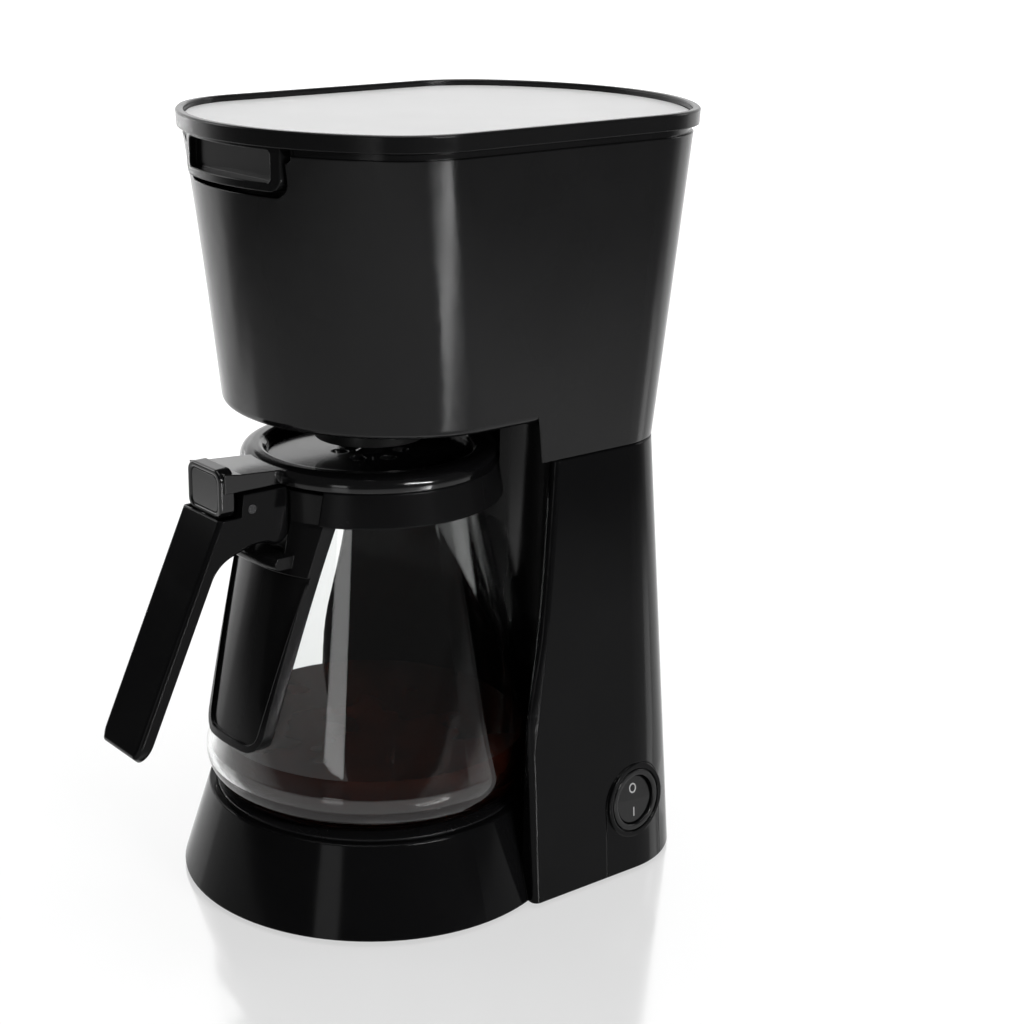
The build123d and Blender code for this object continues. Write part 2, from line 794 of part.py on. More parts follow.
bevel_bottom = step_height - seam_bevel
with BuildPart() as rim_bevel:
    with at(0, 0, bevel_bottom):
        Box(2 * far, 2 * far, seam_bevel, align=(Align.CENTER, Align.CENTER, Align.MIN))
    body_loft(head_plan_top.inset(-gap), bevel_bottom, head_plan_top.inset(seam_bevel), step_height,
              mode=Mode.SUBTRACT)

ear_outer = knuckle_half_width + gap + ear_width
hinge_rear = head_plan(hinge_height).rear
with BuildPart() as head_housing:
    body_loft(waist_plan, waist_height, head_plan_top, head_top)
    add(rim_step.part, mode=Mode.SUBTRACT)
    add(rim_bevel.part, mode=Mode.SUBTRACT)
    clear_bay(0, waist_height, underside_height)
    chamfer(head_housing.faces().sort_by(Axis.Z)[0].edges(), seam_bevel)
    underside = head_housing.faces().filter_by(Plane.XY).sort_by_distance((0, axis_y, underside_height))[0]
    fillet(underside.edges().filter_by(lambda edge: edge.center().Y < axis_y + column_front - 2), underside_round)
    add(head_cavity.part, mode=Mode.SUBTRACT)
    ring(0, hub_radius + 2 * gap, underside_height, floor_top, mode=Mode.SUBTRACT)
    with BuildSketch(Plane((0, axis_y - body_front, 0), x_dir=(1, 0, 0), z_dir=(0, -1, 0))) as notch:
        with BuildLine() as notch_line:
            start = Line((-notch_half, notch_bottom), (notch_half, notch_bottom))
            Line(start @ 1, (notch_half, step_height - notch_flare))
            RadiusArc((notch_half, step_height - notch_flare), (notch_half + notch_flare, step_height), -notch_flare)
            Polyline((notch_half + notch_flare, step_height), (notch_half + notch_flare, lid_top),
                     (-notch_half - notch_flare, lid_top), (-notch_half - notch_flare, step_height))
            RadiusArc((-notch_half - notch_flare, step_height), (-notch_half, step_height - notch_flare), -notch_flare)
            Line((-notch_half, step_height - notch_flare), start @ 0)
        make_face()
        fillet(notch.vertices().group_by(Axis.Y)[0], tab_corner + tab_gap)
    extrude(amount=2 * tab_depth, both=True, mode=Mode.SUBTRACT)
    with at(0, hinge_y - hinge_radius - gap, hinge_height - 1):
        Box(2 * hinge_notch_half_width, far, far, align=(Align.CENTER, Align.MIN, Align.MIN), mode=Mode.SUBTRACT)
    with BuildSketch(profile(knuckle_half_width + gap)):
        with Locations((hinge_y, hinge_height)):
            Circle(hinge_radius)
        with Locations((hinge_y - hinge_radius, hinge_height)):
            Rectangle(hinge_rear - wall / 2 - hinge_y + hinge_radius, 2 * hinge_radius, align=(Align.MIN, Align.MAX))
    extrude(amount=ear_width)
    with BuildSketch(profile(-knuckle_half_width - gap)):
        with Locations((hinge_y, hinge_height)):
            Circle(hinge_radius)
        with Locations((hinge_y - hinge_radius, hinge_height)):
            Rectangle(hinge_rear - wall / 2 - hinge_y + hinge_radius, 2 * hinge_radius, align=(Align.MIN, Align.MAX))
    extrude(amount=-ear_width)
    with at(0, hinge_y - hinge_radius - gap, hinge_height - hinge_radius - gap):
        Box(2 * (knuckle_half_width + gap), far, far, align=(Align.CENTER, Align.MIN, Align.MIN), mode=Mode.SUBTRACT)
    with BuildSketch(profile()):
        with Locations((hinge_y, hinge_height)):
            Circle(hinge_pin_radius + running_gap / 2)
    extrude(amount=ear_outer, both=True, mode=Mode.SUBTRACT)
    with BuildSketch(level(waist_height)):
        with Locations(*head_screw_spots):
            Circle(boss_radius)
            Circle(screw_radius + running_gap, mode=Mode.SUBTRACT)
    extrude(amount=head_boss_height)
head_housing.part.label = "head_housing"
export_step(head_housing.part, "parts/head_housing.step")

with BuildPart() as lid_hinge_pin:
    with BuildSketch(profile()):
        with Locations((hinge_y, hinge_height)):
            Circle(hinge_pin_radius)
    extrude(amount=ear_outer, both=True)
lid_hinge_pin.part.label = "lid_hinge_pin"
export_step(lid_hinge_pin.part, "parts/lid_hinge_pin.step")


def tank_body(inset, low, front, mode):
    body_loft(head_plan(low).inset(inset), low, head_plan(tank_top).inset(inset), tank_top, mode=mode)


with BuildPart() as tank_hollow:
    tank_body(wall + tank_gap + tank_wall, floor_top + tank_wall, tank_front + tank_wall, Mode.ADD)
    with at(0, tank_front + tank_wall, tank_top):
        Box(2 * far, far, 2 * far, align=(Align.CENTER, Align.MAX, Align.CENTER), mode=Mode.SUBTRACT)

with BuildPart() as water_tank:
    tank_body(wall + tank_gap, floor_top, tank_front, Mode.ADD)
    with at(0, tank_front, tank_top):
        Box(2 * far, far, 2 * far, align=(Align.CENTER, Align.MAX, Align.CENTER), mode=Mode.SUBTRACT)
    add(tank_hollow.part, mode=Mode.SUBTRACT)
    with BuildSketch(level(valve_bottom + valve_height / 2 + gap)):
        with Locations((stub_x, water_line_y)):
            Circle(tube_radius)
    extrude(amount=floor_top - valve_bottom - valve_height / 2)
    with BuildSketch(level(valve_bottom + valve_height / 2 + gap)):
        with Locations((stub_x, water_line_y)):
            Circle(tube_radius - tube_wall)
    extrude(amount=far / 4, mode=Mode.SUBTRACT)
    with BuildSketch(level(floor_top)):
        with Locations((-stub_x, water_line_y)):
            Circle(grommet_radius + running_gap)
    extrude(amount=tank_wall, mode=Mode.SUBTRACT)
water_tank.part.label = "water_tank"
export_step(water_tank.part, "parts/water_tank.step")

with BuildPart() as tank_grommet:
    with BuildSketch(level(floor_top)):
        with Locations((-stub_x, water_line_y)):
            Circle(grommet_radius)
            Circle(tube_radius + running_gap, mode=Mode.SUBTRACT)
    extrude(amount=tank_wall)
    with BuildSketch(level(floor_top + tank_wall)):
        with Locations((-stub_x, water_line_y)):
            Circle(grommet_radius + 2)
            Circle(tube_radius + running_gap, mode=Mode.SUBTRACT)
    extrude(amount=1.6)
tank_grommet.part.label = "tank_grommet"
export_step(tank_grommet.part, "parts/tank_grommet.step")

# Lid: frame with the finger tab, pale panel and the shower plate underneath
panel_top = lid_top - panel_drop
with BuildPart() as lid_frame:
    body_loft(floor_plan.inset(gap), lid_bottom, floor_plan, lid_top)
    body_loft(floor_plan.inset(lid_rim_width), panel_top - panel_thickness, floor_plan.inset(lid_rim_width), lid_top,
              mode=Mode.SUBTRACT)
    fillet(lid_frame.faces().sort_by(Axis.Z)[-1].edges(), edge_round)
    with BuildSketch(level(lid_bottom - lip_depth)):
        draw(floor_plan.inset(lip_inset))
        with Locations((0, lip_rear_end)):
            Rectangle(2 * far, far, align=(Align.CENTER, Align.MIN), mode=Mode.SUBTRACT)
    extrude(amount=lip_depth)
    with BuildSketch(level(lid_bottom - lip_depth)):
        draw(floor_plan.inset(lip_inset + 1.8))
    extrude(amount=lip_depth, mode=Mode.SUBTRACT)
    with BuildSketch(profile(knuckle_half_width)):
        with Locations((hinge_y, hinge_height)):
            Circle(hinge_radius)
        with Locations((hinge_y, hinge_height)):
            Rectangle(2 * hinge_radius, lid_bottom - hinge_height, align=(Align.CENTER, Align.MIN))
    extrude(amount=-2 * knuckle_half_width)
    with BuildSketch(profile()):
        with Locations((hinge_y, hinge_height)):
            Circle(hinge_pin_radius + running_gap)
    extrude(amount=knuckle_half_width, both=True, mode=Mode.SUBTRACT)
    with BuildSketch(level(tab_bottom)):
        draw(head_plan_top)
        with Locations((0, -body_front + lid_overhang + tab_depth)):
            Rectangle(2 * far, far, align=(Align.CENTER, Align.MIN), mode=Mode.SUBTRACT)
        for side in (-1, 1):
            with Locations((side * tab_half_width, 0)):
                Rectangle(far, far, align=(Align.MIN if side > 0 else Align.MAX, Align.CENTER), mode=Mode.SUBTRACT)
    extrude(amount=lid_bottom - tab_bottom)
    tab_edges = lid_frame.edges().filter_by(Axis.Y).group_by(Axis.Z)[0]
    fillet(tab_edges, tab_corner)
    with BuildSketch(Plane((0, axis_y - body_front, 0), x_dir=(1, 0, 0), z_dir=(0, -1, 0))) as pocket:
        with Locations((0, tab_bottom + tab_frame)):
            Rectangle(2 * (tab_half_width - 1.5 * tab_frame), tab_height - 1.5 * tab_frame, align=(Align.CENTER, Align.MIN))
        fillet(pocket.vertices(), tab_corner - tab_frame)
    extrude(amount=tab_depth - tab_frame, both=True, mode=Mode.SUBTRACT)
    tab_front = lid_frame.faces().filter_by(lambda face: face.center().Z < lid_bottom and face.area > 60)
    tab_front = tab_front.sort_by(Axis.Y)[0]
    fillet(tab_front.inner_wires()[0].edges(), edge_round / 2)
lid_frame.part.label = "lid_frame"
export_step(lid_frame.part, "parts/lid_frame.step")

with BuildPart() as lid_panel:
    with BuildSketch(level(panel_top - panel_thickness)):
        draw(floor_plan.inset(lid_rim_width + gap))
    extrude(amount=panel_thickness)
lid_panel.part.label = "lid_panel"
export_step(lid_panel.part, "parts/lid_panel.step")

shower_bottom = lid_bottom - shower_depth
arm_end = nozzle_end - 2
with BuildPart() as shower_plate:
    ring(0, shower_radius, shower_bottom, lid_bottom)
    with at(-stub_x, 0, shower_bottom):
        Box(shower_arm_width, arm_end, shower_depth, align=(Align.CENTER, Align.MIN, Align.MIN))
    ring(0, shower_radius - shower_wall, shower_bottom + shower_wall, lid_bottom, mode=Mode.SUBTRACT)
    with at(-stub_x, 0, shower_bottom + shower_wall):
        Box(shower_arm_width - 2 * shower_wall, arm_end, shower_depth, align=(Align.CENTER, Align.MIN, Align.MIN),
            mode=Mode.SUBTRACT)
    with BuildSketch(level(shower_bottom)):
        with PolarLocations(shower_radius * 0.3, 6):
            Circle(shower_hole_radius)
        with PolarLocations(shower_radius * 0.6, 12):
            Circle(shower_hole_radius)
    extrude(amount=shower_wall, mode=Mode.SUBTRACT)
shower_plate.part.label = "shower_plate"
export_step(shower_plate.part, "parts/shower_plate.step")

# Brew basket with its hub, and the permanent filter standing in it
hub_floor = hub_bottom + basket_wall
with BuildPart() as filter_basket:
    turned((0, hub_bottom), (hub_radius, hub_bottom), (hub_radius, floor_top), (basket_shoulder, floor_top),
           (basket_radius, basket_top), (0, basket_top))
    turned((0, hub_floor), (hub_radius - basket_wall, hub_floor), (hub_radius - basket_wall, floor_top + basket_wall),
           (basket_shoulder - basket_wall, floor_top + basket_wall), (basket_radius - basket_wall, basket_top),
           (0, basket_top), mode=Mode.SUBTRACT)
    ring(stem_radius + gap, hub_radius - basket_wall / 2, floor_top, floor_top + spider_thickness)
    with BuildSketch(level(floor_top)):
        with PolarLocations((stem_radius + spring_radius + hub_radius) / 2, 8):
            Circle(2.2)
    extrude(amount=spider_thickness, mode=Mode.SUBTRACT)
    ring(0, stem_radius + gap, hub_bottom, hub_floor, mode=Mode.SUBTRACT)
filter_basket.part.label = "filter_basket"
export_step(filter_basket.part, "parts/filter_basket.step")

filter_top = basket_top + filter_ring_height
filter_radius = basket_radius - basket_wall - 1.5
filter_run = filter_radius - filter_bottom_radius
filter_rise = basket_top - filter_bottom


def filter_wall_radius(z):
    return filter_bottom_radius + filter_run * (z - filter_bottom) / filter_rise


with BuildPart() as filter_frame:
    ring(filter_radius - filter_bar, basket_radius + 0.5, basket_top, filter_top)
    turned((filter_radius - filter_bar, basket_top - 3), (filter_wall_radius(basket_top - 3), basket_top - 3),
           (filter_radius, basket_top), (filter_radius - filter_bar, basket_top))
    ring(0, filter_bottom_radius, filter_bottom - filter_bar, filter_bottom)
    hoop_step = filter_rise / (filter_hoop_count + 1)
    for index in range(filter_hoop_count):
        hoop_z = filter_bottom + hoop_step * (index + 1)
        outer = filter_wall_radius(hoop_z)
        turned((outer - filter_bar, hoop_z), (outer, hoop_z), (filter_wall_radius(hoop_z + filter_bar),
               hoop_z + filter_bar), (filter_wall_radius(hoop_z + filter_bar) - filter_bar, hoop_z + filter_bar))
    for index in range(filter_bar_count):
        with BuildSketch(section(index * 360 / filter_bar_count)):
            with BuildLine():
                Polyline((filter_bottom_radius - filter_bar, filter_bottom - filter_bar / 2),
                         (filter_bottom_radius, filter_bottom - filter_bar / 2), (filter_bottom_radius, filter_bottom),
                         (filter_radius, basket_top), (filter_radius - filter_bar, basket_top),
                         (filter_bottom_radius - filter_bar, filter_bottom), close=True)
            make_face()
        extrude(amount=filter_bar / 2, both=True)
filter_frame.part.label = "filter_frame"
export_step(filter_frame.part, "parts/filter_frame.step")

mesh_in = filter_bar + mesh_thickness + gap
with BuildPart() as filter_mesh:
    turned((filter_bottom_radius - mesh_in, filter_bottom), (filter_bottom_radius - mesh_in + mesh_thickness,
           filter_bottom), (filter_radius - mesh_in + mesh_thickness, basket_top), (filter_radius - mesh_in, basket_top))
filter_mesh.part.label = "filter_mesh"
export_step(filter_mesh.part, "parts/filter_mesh.step")

# Drip stop: sprung plunger that the carafe's lid holds up
head_low = hub_floor + valve_open + seal_height
with BuildPart() as drip_stop_plunger:
    ring(0, stem_radius, plunger_tip, head_low)
    ring(0, valve_head_radius, head_low, head_low + valve_head_height)
drip_stop_plunger.part.label = "drip_stop_plunger"
export_step(drip_stop_plunger.part, "parts/drip_stop_plunger.step")

with BuildPart() as drip_stop_seal:
    ring(stem_radius + running_gap, valve_head_radius, head_low - seal_height, head_low)
drip_stop_seal.part.label = "drip_stop_seal"
export_step(drip_stop_seal.part, "parts/drip_stop_seal.step")

with BuildPart() as drip_stop_spring:
    ring(spring_radius - spring_wire, spring_radius, head_low + valve_head_height, floor_top)
drip_stop_spring.part.label = "drip_stop_spring"
export_step(drip_stop_spring.part, "parts/drip_stop_spring.step")

# Carafe: glass jug, collar with spout, handle, shield and hinged lid
lean = math.tan(math.radians(glass_lean))
slant = 1 / math.cos(math.radians(glass_lean))
glass_foot = glass_radius + glass_corner * (lean + slant - 1)


def glass_line(z):
    return glass_foot - lean * (z - carafe_bottom)


neck_radius = glass_line(glass_neck_height)
collar_bottom_radius = neck_radius + collar_foot_width
collar_top_radius = neck_radius + collar_top_width
spout_reach = neck_radius + spout_length
spout_bottom = glass_neck_height - spout_drop
spout_top = collar_top + spout_rise
carafe_lid_radius = neck_radius + carafe_lid_overlap
skirt_radius = neck_radius - glass_wall - skirt_clear
root_rear = -neck_radius - root_clear
pivot_y = root_rear - pivot_reach
pivot_height = collar_top - pivot_drop
arm_front = pivot_y - arm_reach
pad_front = arm_front - pad_proud
pad_top = collar_top + pad_rise
pad_bottom = pad_top - pad_height
pad_middle = (pad_top + pad_bottom) / 2
grip_bottom = carafe_bottom + grip_lift
shield_bottom = carafe_bottom + shield_lift
shield_top = collar_top - shield_top_drop
cradle_bottom = collar_top - cradle_drop
cradle_reach = neck_radius + cradle_width
cradle_top = cradle_bottom + cradle_floor
inner_foot = glass_foot - glass_wall * (lean + slant)
inner_neck_height = carafe_bottom + glass_wall + (inner_foot - neck_radius + glass_wall) / lean
with BuildPart() as carafe_glass:
    with BuildSketch(section()) as glass_profile:
        with BuildLine():
            Polyline((0, carafe_bottom), (glass_foot, carafe_bottom), (neck_radius, glass_neck_height),
                     (neck_radius, glass_top), (neck_radius - glass_wall, glass_top),
                     (neck_radius - glass_wall, inner_neck_height), (inner_foot, carafe_bottom + glass_wall),
                     (0, carafe_bottom + glass_wall), close=True)
        make_face()
        corners = glass_profile.vertices()
        fillet(corners.sort_by_distance((glass_foot, carafe_bottom))[0], glass_corner)
        corners = glass_profile.vertices()
        fillet(corners.sort_by_distance((inner_foot, carafe_bottom + glass_wall))[0], glass_corner - glass_wall)
    revolve(axis=carafe_axis)
carafe_glass.part.label = "carafe_glass"
export_step(carafe_glass.part, "parts/carafe_glass.step")

collar_bottom = glass_neck_height + gap
with BuildPart() as carafe_collar:
    with BuildSketch(section()) as band:
        with BuildLine():
            Polyline((neck_radius + gap, collar_bottom), (collar_bottom_radius, collar_bottom),
                     (collar_top_radius, collar_top), (neck_radius + gap, collar_top), close=True)
        make_face()
        fillet(band.vertices().sort_by(Axis.X)[-2:], edge_round)
    revolve(axis=carafe_axis)
    with BuildSketch(level(spout_bottom)):
        Polygon((-spout_half_width, neck_radius), (spout_half_width, neck_radius), (spout_tip_half_width, spout_reach),
                (-spout_tip_half_width, spout_reach), align=None)
    extrude(amount=spout_top - spout_bottom)
    turned((0, spout_bottom - 1), (glass_line(spout_bottom - 1) + gap, spout_bottom - 1),
           (neck_radius + gap, glass_neck_height), (neck_radius + gap, collar_top), (0, collar_top),
           mode=Mode.SUBTRACT)
    ring(0, carafe_lid_radius + 2 * gap, collar_top, spout_top, mode=Mode.SUBTRACT)
    with BuildSketch(level(glass_neck_height + spout_wall)):
        Polygon((-spout_half_width + 2 * spout_wall, neck_radius - 2), (spout_half_width - 2 * spout_wall, neck_radius - 2),
                (spout_tip_half_width - spout_wall, spout_reach - spout_wall),
                (spout_wall - spout_tip_half_width, spout_reach - spout_wall), align=None)
    extrude(amount=far / 4, mode=Mode.SUBTRACT)
    with at(0, 0, collar_bottom):
        Box(2 * (shield_half_width + gap), far, far, align=(Align.CENTER, Align.MAX, Align.CENTER), mode=Mode.SUBTRACT)
carafe_collar.part.label = "carafe_collar"
export_step(carafe_collar.part, "parts/carafe_collar.step")

# Handle: slanted grip with a socket for the thumb pad, two cheeks and the root that plugs into the shield
handle_half = handle_width / 2
socket_floor = pad_bottom - pad_proud
cheek_top = collar_top - gap
slot_half = lug_half_width + 0.5
slot_floor = pivot_height - lug_radius - 1.8
slot_rear = root_rear - 3.0
grip_front_top = (pad_front - pad_proud, socket_floor + 2)
grip_toe = (-handle_reach, grip_bottom + grip_end)
grip_heel = (grip_end - handle_reach, grip_bottom)
throat = (pivot_y - throat_reach, pivot_height - root_drop)
arch_front = (pivot_y, pivot_height - arch_drop)
arch_rear = (pivot_y + 2 * arch_half_width, pivot_height - arch_drop)
root_foot = (root_rear, pivot_height - root_drop)
profile_rounds = [(grip_toe, grip_end_round), (grip_heel, grip_end_round), (throat, throat_round),
                  (arch_front, arch_round), (arch_rear, arch_round), (root_foot, root_round)]
with BuildPart() as carafe_handle:
    with BuildSketch(profile(-handle_half)) as handle_profile:
        with BuildLine():
            Polyline(grip_front_top, grip_toe, grip_heel, throat, arch_front, arch_rear, root_foot,
                     (root_rear, cheek_top), (pivot_y - arm_step, cheek_top),
                     (pad_front + pad_thickness + gap, socket_floor + 2), close=True)
        make_face()
        for spot, radius in profile_rounds:
            fillet(handle_profile.vertices().sort_by_distance(spot)[0], radius)
    extrude(amount=handle_width)
    with BuildSketch(Plane((0, axis_y, 0), x_dir=(1, 0, 0), z_dir=(0, -1, 0))) as front_outline:
        with Locations((0, grip_bottom)):
            Rectangle(handle_width, collar_top - grip_bottom, align=(Align.CENTER, Align.MIN))
        fillet(front_outline.vertices().group_by(Axis.Y)[0], grip_corner)
    extrude(amount=far, both=True, mode=Mode.INTERSECT)
    grip_edges = carafe_handle.edges().filter_by(lambda edge: edge.center().Y < axis_y + pivot_y - throat_reach)
    grip_edges = grip_edges.filter_by(lambda edge: abs(edge.center().X) > handle_half - grip_corner)
    fillet(grip_edges.filter_by(GeomType.LINE).filter_by(lambda edge: edge.length > grip_corner), grip_edge)
    with at(0, slot_rear, slot_floor):
        Box(2 * slot_half, slot_rear - pivot_y + lug_radius + 2.2, far,
            align=(Align.CENTER, Align.MAX, Align.MIN), mode=Mode.SUBTRACT)
    with at(0, pad_front - 0.7, socket_floor):
        Box(2 * (pad_half_width - 0.6), pad_thickness + 0.7, far, align=(Align.CENTER, Align.MIN, Align.MIN),
            mode=Mode.SUBTRACT)
    with BuildSketch(profile()):
        with Locations((pivot_y, pivot_height)):
            Circle(pivot_pin_radius + running_gap / 2)
    extrude(amount=handle_width, both=True, mode=Mode.SUBTRACT)
    with BuildSketch(Plane((0, axis_y + root_rear, slot_floor + 3), x_dir=(1, 0, 0), z_dir=(0, -1, 0))):
        Circle(screw_radius + running_gap)
    extrude(amount=4, mode=Mode.SUBTRACT)
carafe_handle.part.label = "carafe_handle"
export_step(carafe_handle.part, "parts/carafe_handle.step")

with BuildPart() as lid_pivot_pin:
    with BuildSketch(profile()):
        with Locations((pivot_y, pivot_height)):
            Circle(pivot_pin_radius)
    extrude(amount=handle_half, both=True)
lid_pivot_pin.part.label = "lid_pivot_pin"
export_step(lid_pivot_pin.part, "parts/lid_pivot_pin.step")


def shield_band(inner, outer, low, mode=Mode.ADD):
    """Band that follows the glass between two distances from it."""
    turned((glass_line(low) + inner, low), (glass_line(low) + outer, low), (neck_radius + outer, glass_neck_height),
           (neck_radius + outer, shield_top), (neck_radius + inner, shield_top), (neck_radius + inner, glass_neck_height),
           mode=mode)


def shield_outline(border, low, high):
    with BuildLine() as edge:
        Polyline((-shield_foot_half_width + border, low), (shield_foot_half_width - border, low),
                 (shield_half_width - border, high), (border - shield_half_width, high), close=True)
    make_face(edge.edges())


with BuildPart() as shield_hollow:
    shield_band(shield_thickness - shield_recess, shield_thickness + 5, shield_bottom)
    with BuildSketch(section()) as hollow_outline:
        shield_outline(shield_border, shield_bottom + shield_border, cradle_bottom - shield_border)
        fillet(hollow_outline.vertices().group_by(Axis.Y)[0], shield_corner - shield_border)
    extrude(amount=far, mode=Mode.INTERSECT)

with BuildPart() as shield_cradle:
    with BuildSketch(section()) as cradle:
        with BuildLine():
            Polyline((neck_radius, cradle_bottom), (cradle_reach, cradle_bottom), (cradle_reach, cradle_top),
                     (neck_radius, cradle_top), close=True)
        make_face()
        fillet(cradle.vertices().group_by(Axis.X)[-1], cradle_round)
    revolve(axis=carafe_axis)
    with BuildSketch(section()):
        with Locations((0, cradle_bottom)):
            Rectangle(2 * cradle_half_width, cradle_floor, align=(Align.CENTER, Align.MIN))
    extrude(amount=far, mode=Mode.INTERSECT)

with BuildPart() as handle_shield:
    shield_band(gap, shield_thickness, shield_bottom)
    add(shield_cradle.part)
    turned((0, 0), (glass_line(0) + gap, 0), (neck_radius + gap, glass_neck_height), (neck_radius + gap, shield_top),
           (0, shield_top), mode=Mode.SUBTRACT)
    with BuildSketch(section()) as outer_outline:
        shield_outline(0, shield_bottom, shield_top)
        fillet(outer_outline.vertices().group_by(Axis.Y)[0], shield_corner)
    extrude(amount=far, mode=Mode.INTERSECT)
    add(shield_hollow.part, mode=Mode.SUBTRACT)
    with at(0, root_rear + gap / 2, cradle_top):
        Box(2 * (handle_half + gap), far, far, align=(Align.CENTER, Align.MAX, Align.MIN), mode=Mode.SUBTRACT)
    with BuildSketch(Plane((0, axis_y, slot_floor + 3), x_dir=(1, 0, 0), z_dir=(0, -1, 0))):
        Circle(screw_radius + running_gap)
    extrude(amount=far / 2, mode=Mode.SUBTRACT)
handle_shield.part.label = "handle_shield"
export_step(handle_shield.part, "parts/handle_shield.step")

with BuildPart() as handle_screw:
    screw_plane = Plane((0, axis_y + slot_rear, slot_floor + 3), x_dir=(1, 0, 0), z_dir=(0, 1, 0))
    with BuildSketch(screw_plane):
        Circle(screw_radius)
    extrude(amount=-slot_rear - neck_radius - 2 * gap)
    with BuildSketch(screw_plane):
        Circle(screw_head_radius - gap)
    extrude(amount=-screw_head_height)
handle_screw.part.label = "handle_screw"
export_step(handle_screw.part, "parts/handle_screw.step")

lid_rim_top = lid_low + carafe_lid_rim
dish_top = lid_low + carafe_lid_thickness
arm_bottom = lid_low + 0.5
with BuildPart() as carafe_lid:
    with BuildSketch(section()) as lid_profile:
        rim_inner = carafe_lid_radius - carafe_lid_rim_width
        with BuildLine():
            Polyline((0, lid_low), (carafe_lid_radius, lid_low), (carafe_lid_radius, lid_rim_top),
                     (rim_inner, lid_rim_top), (rim_inner - 4, dish_top), (0, dish_top), close=True)
        make_face()
        corners = lid_profile.vertices()
        fillet(corners.sort_by_distance((carafe_lid_radius, lid_rim_top))[0], carafe_lid_round)
        corners = lid_profile.vertices()
        fillet(corners.sort_by_distance((rim_inner, lid_rim_top))[0], 2)
    revolve(axis=carafe_axis)
    ring(skirt_radius - 2, skirt_radius, lid_low - skirt_depth, lid_low)
    with BuildSketch(level(lid_low)):
        with PolarLocations(inlet_hole_circle, 6):
            Circle(inlet_hole_radius)
    extrude(amount=carafe_lid_rim, mode=Mode.SUBTRACT)
    with BuildSketch(profile(-arm_half_width)):
        with BuildLine():
            Polyline((arm_front, arm_bottom), (-rim_inner - 1, arm_bottom), (-rim_inner - 1, lid_rim_top - 1),
                     (pivot_y - arm_step, arm_bottom + arm_height), (arm_front, pad_top - 1), close=True)
        make_face()
    extrude(amount=2 * arm_half_width)
    ring(0, rim_inner - 2, dish_top, pad_top, mode=Mode.SUBTRACT)
    turned((0, dish_top), (2 * boss_top_radius, dish_top), (boss_top_radius, dish_top + boss_foot_height),
           (boss_top_radius, lid_low + boss_rise), (0, lid_low + boss_rise))
    with BuildSketch(profile(-lug_half_width)):
        with Locations((pivot_y, pivot_height)):
            Circle(lug_radius)
        with Locations((pivot_y, pivot_height)):
            Rectangle(2 * lug_radius, arm_bottom + 1 - pivot_height, align=(Align.CENTER, Align.MIN))
    extrude(amount=2 * lug_half_width)
    with BuildSketch(profile()):
        with Locations((pivot_y, pivot_height)):
            Circle(pivot_pin_radius + running_gap)
    extrude(amount=handle_width, both=True, mode=Mode.SUBTRACT)
    with BuildSketch(Plane((0, axis_y + pad_front, pad_middle), x_dir=(1, 0, 0), z_dir=(0, -1, 0))):
        RectangleRounded(2 * (pad_half_width - 1.2), pad_height, 4)
    extrude(amount=-pad_thickness + pad_proud)
    with BuildSketch(Plane((0, axis_y + pad_front, pad_middle), x_dir=(1, 0, 0), z_dir=(0, -1, 0))):
        RectangleRounded(2 * (pad_half_width - 1.2 - pad_inset_border), pad_height - 2 * pad_inset_border, 2.5)
    extrude(amount=-pad_inset_depth, mode=Mode.SUBTRACT)
    pad_face = carafe_lid.faces().filter_by(Plane.XZ).sort_by(Axis.Y)[0]
    fillet(pad_face.edges(), edge_round)
carafe_lid.part.label = "carafe_lid"
export_step(carafe_lid.part, "parts/carafe_lid.step")

with BuildPart() as thumb_pad:
    inset_half = pad_half_width - 1.2 - pad_inset_border - 0.2
    with BuildSketch(Plane((0, axis_y + pad_front + pad_inset_depth, pad_middle), x_dir=(1, 0, 0),
                           z_dir=(0, -1, 0))):
        RectangleRounded(2 * inset_half, pad_height - 2 * pad_inset_border - 0.4, 2.3)
    extrude(amount=pad_inset_depth - 0.4)
thumb_pad.part.label = "thumb_pad"
export_step(thumb_pad.part, "parts/thumb_pad.step")
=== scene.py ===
"""Drip coffee maker: finishes, coffee, switch marks, drip stop spring, studio and camera."""

import math

import bmesh
import bpy
from bpy.props import FloatProperty, FloatVectorProperty, IntProperty, PointerProperty
from mathutils import Matrix, Vector


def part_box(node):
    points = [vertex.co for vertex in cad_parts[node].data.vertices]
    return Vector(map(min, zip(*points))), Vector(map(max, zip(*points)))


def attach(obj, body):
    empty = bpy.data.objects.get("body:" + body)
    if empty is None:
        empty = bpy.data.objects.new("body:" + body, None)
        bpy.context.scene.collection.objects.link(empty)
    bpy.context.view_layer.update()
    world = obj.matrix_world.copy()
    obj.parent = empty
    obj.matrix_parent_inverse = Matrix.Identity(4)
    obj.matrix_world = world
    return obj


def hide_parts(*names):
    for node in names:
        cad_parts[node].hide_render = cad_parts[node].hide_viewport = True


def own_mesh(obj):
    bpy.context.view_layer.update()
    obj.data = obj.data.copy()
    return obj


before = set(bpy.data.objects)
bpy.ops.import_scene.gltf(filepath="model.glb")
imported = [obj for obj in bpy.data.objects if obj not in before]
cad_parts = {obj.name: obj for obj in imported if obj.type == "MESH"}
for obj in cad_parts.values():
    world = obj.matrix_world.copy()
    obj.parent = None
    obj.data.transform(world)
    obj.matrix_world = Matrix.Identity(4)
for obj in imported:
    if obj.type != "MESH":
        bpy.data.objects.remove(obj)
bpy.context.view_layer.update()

bl_info = {
    "name": "Drip coffee maker",
    "version": (1, 0, 0),
    "blender": (4, 5, 0),
    "location": "3D View > Sidebar > Coffee maker",
    "description": "Gives the coffee maker its finishes, coffee, switch marks, spring, studio and camera",
    "category": "Object",
}


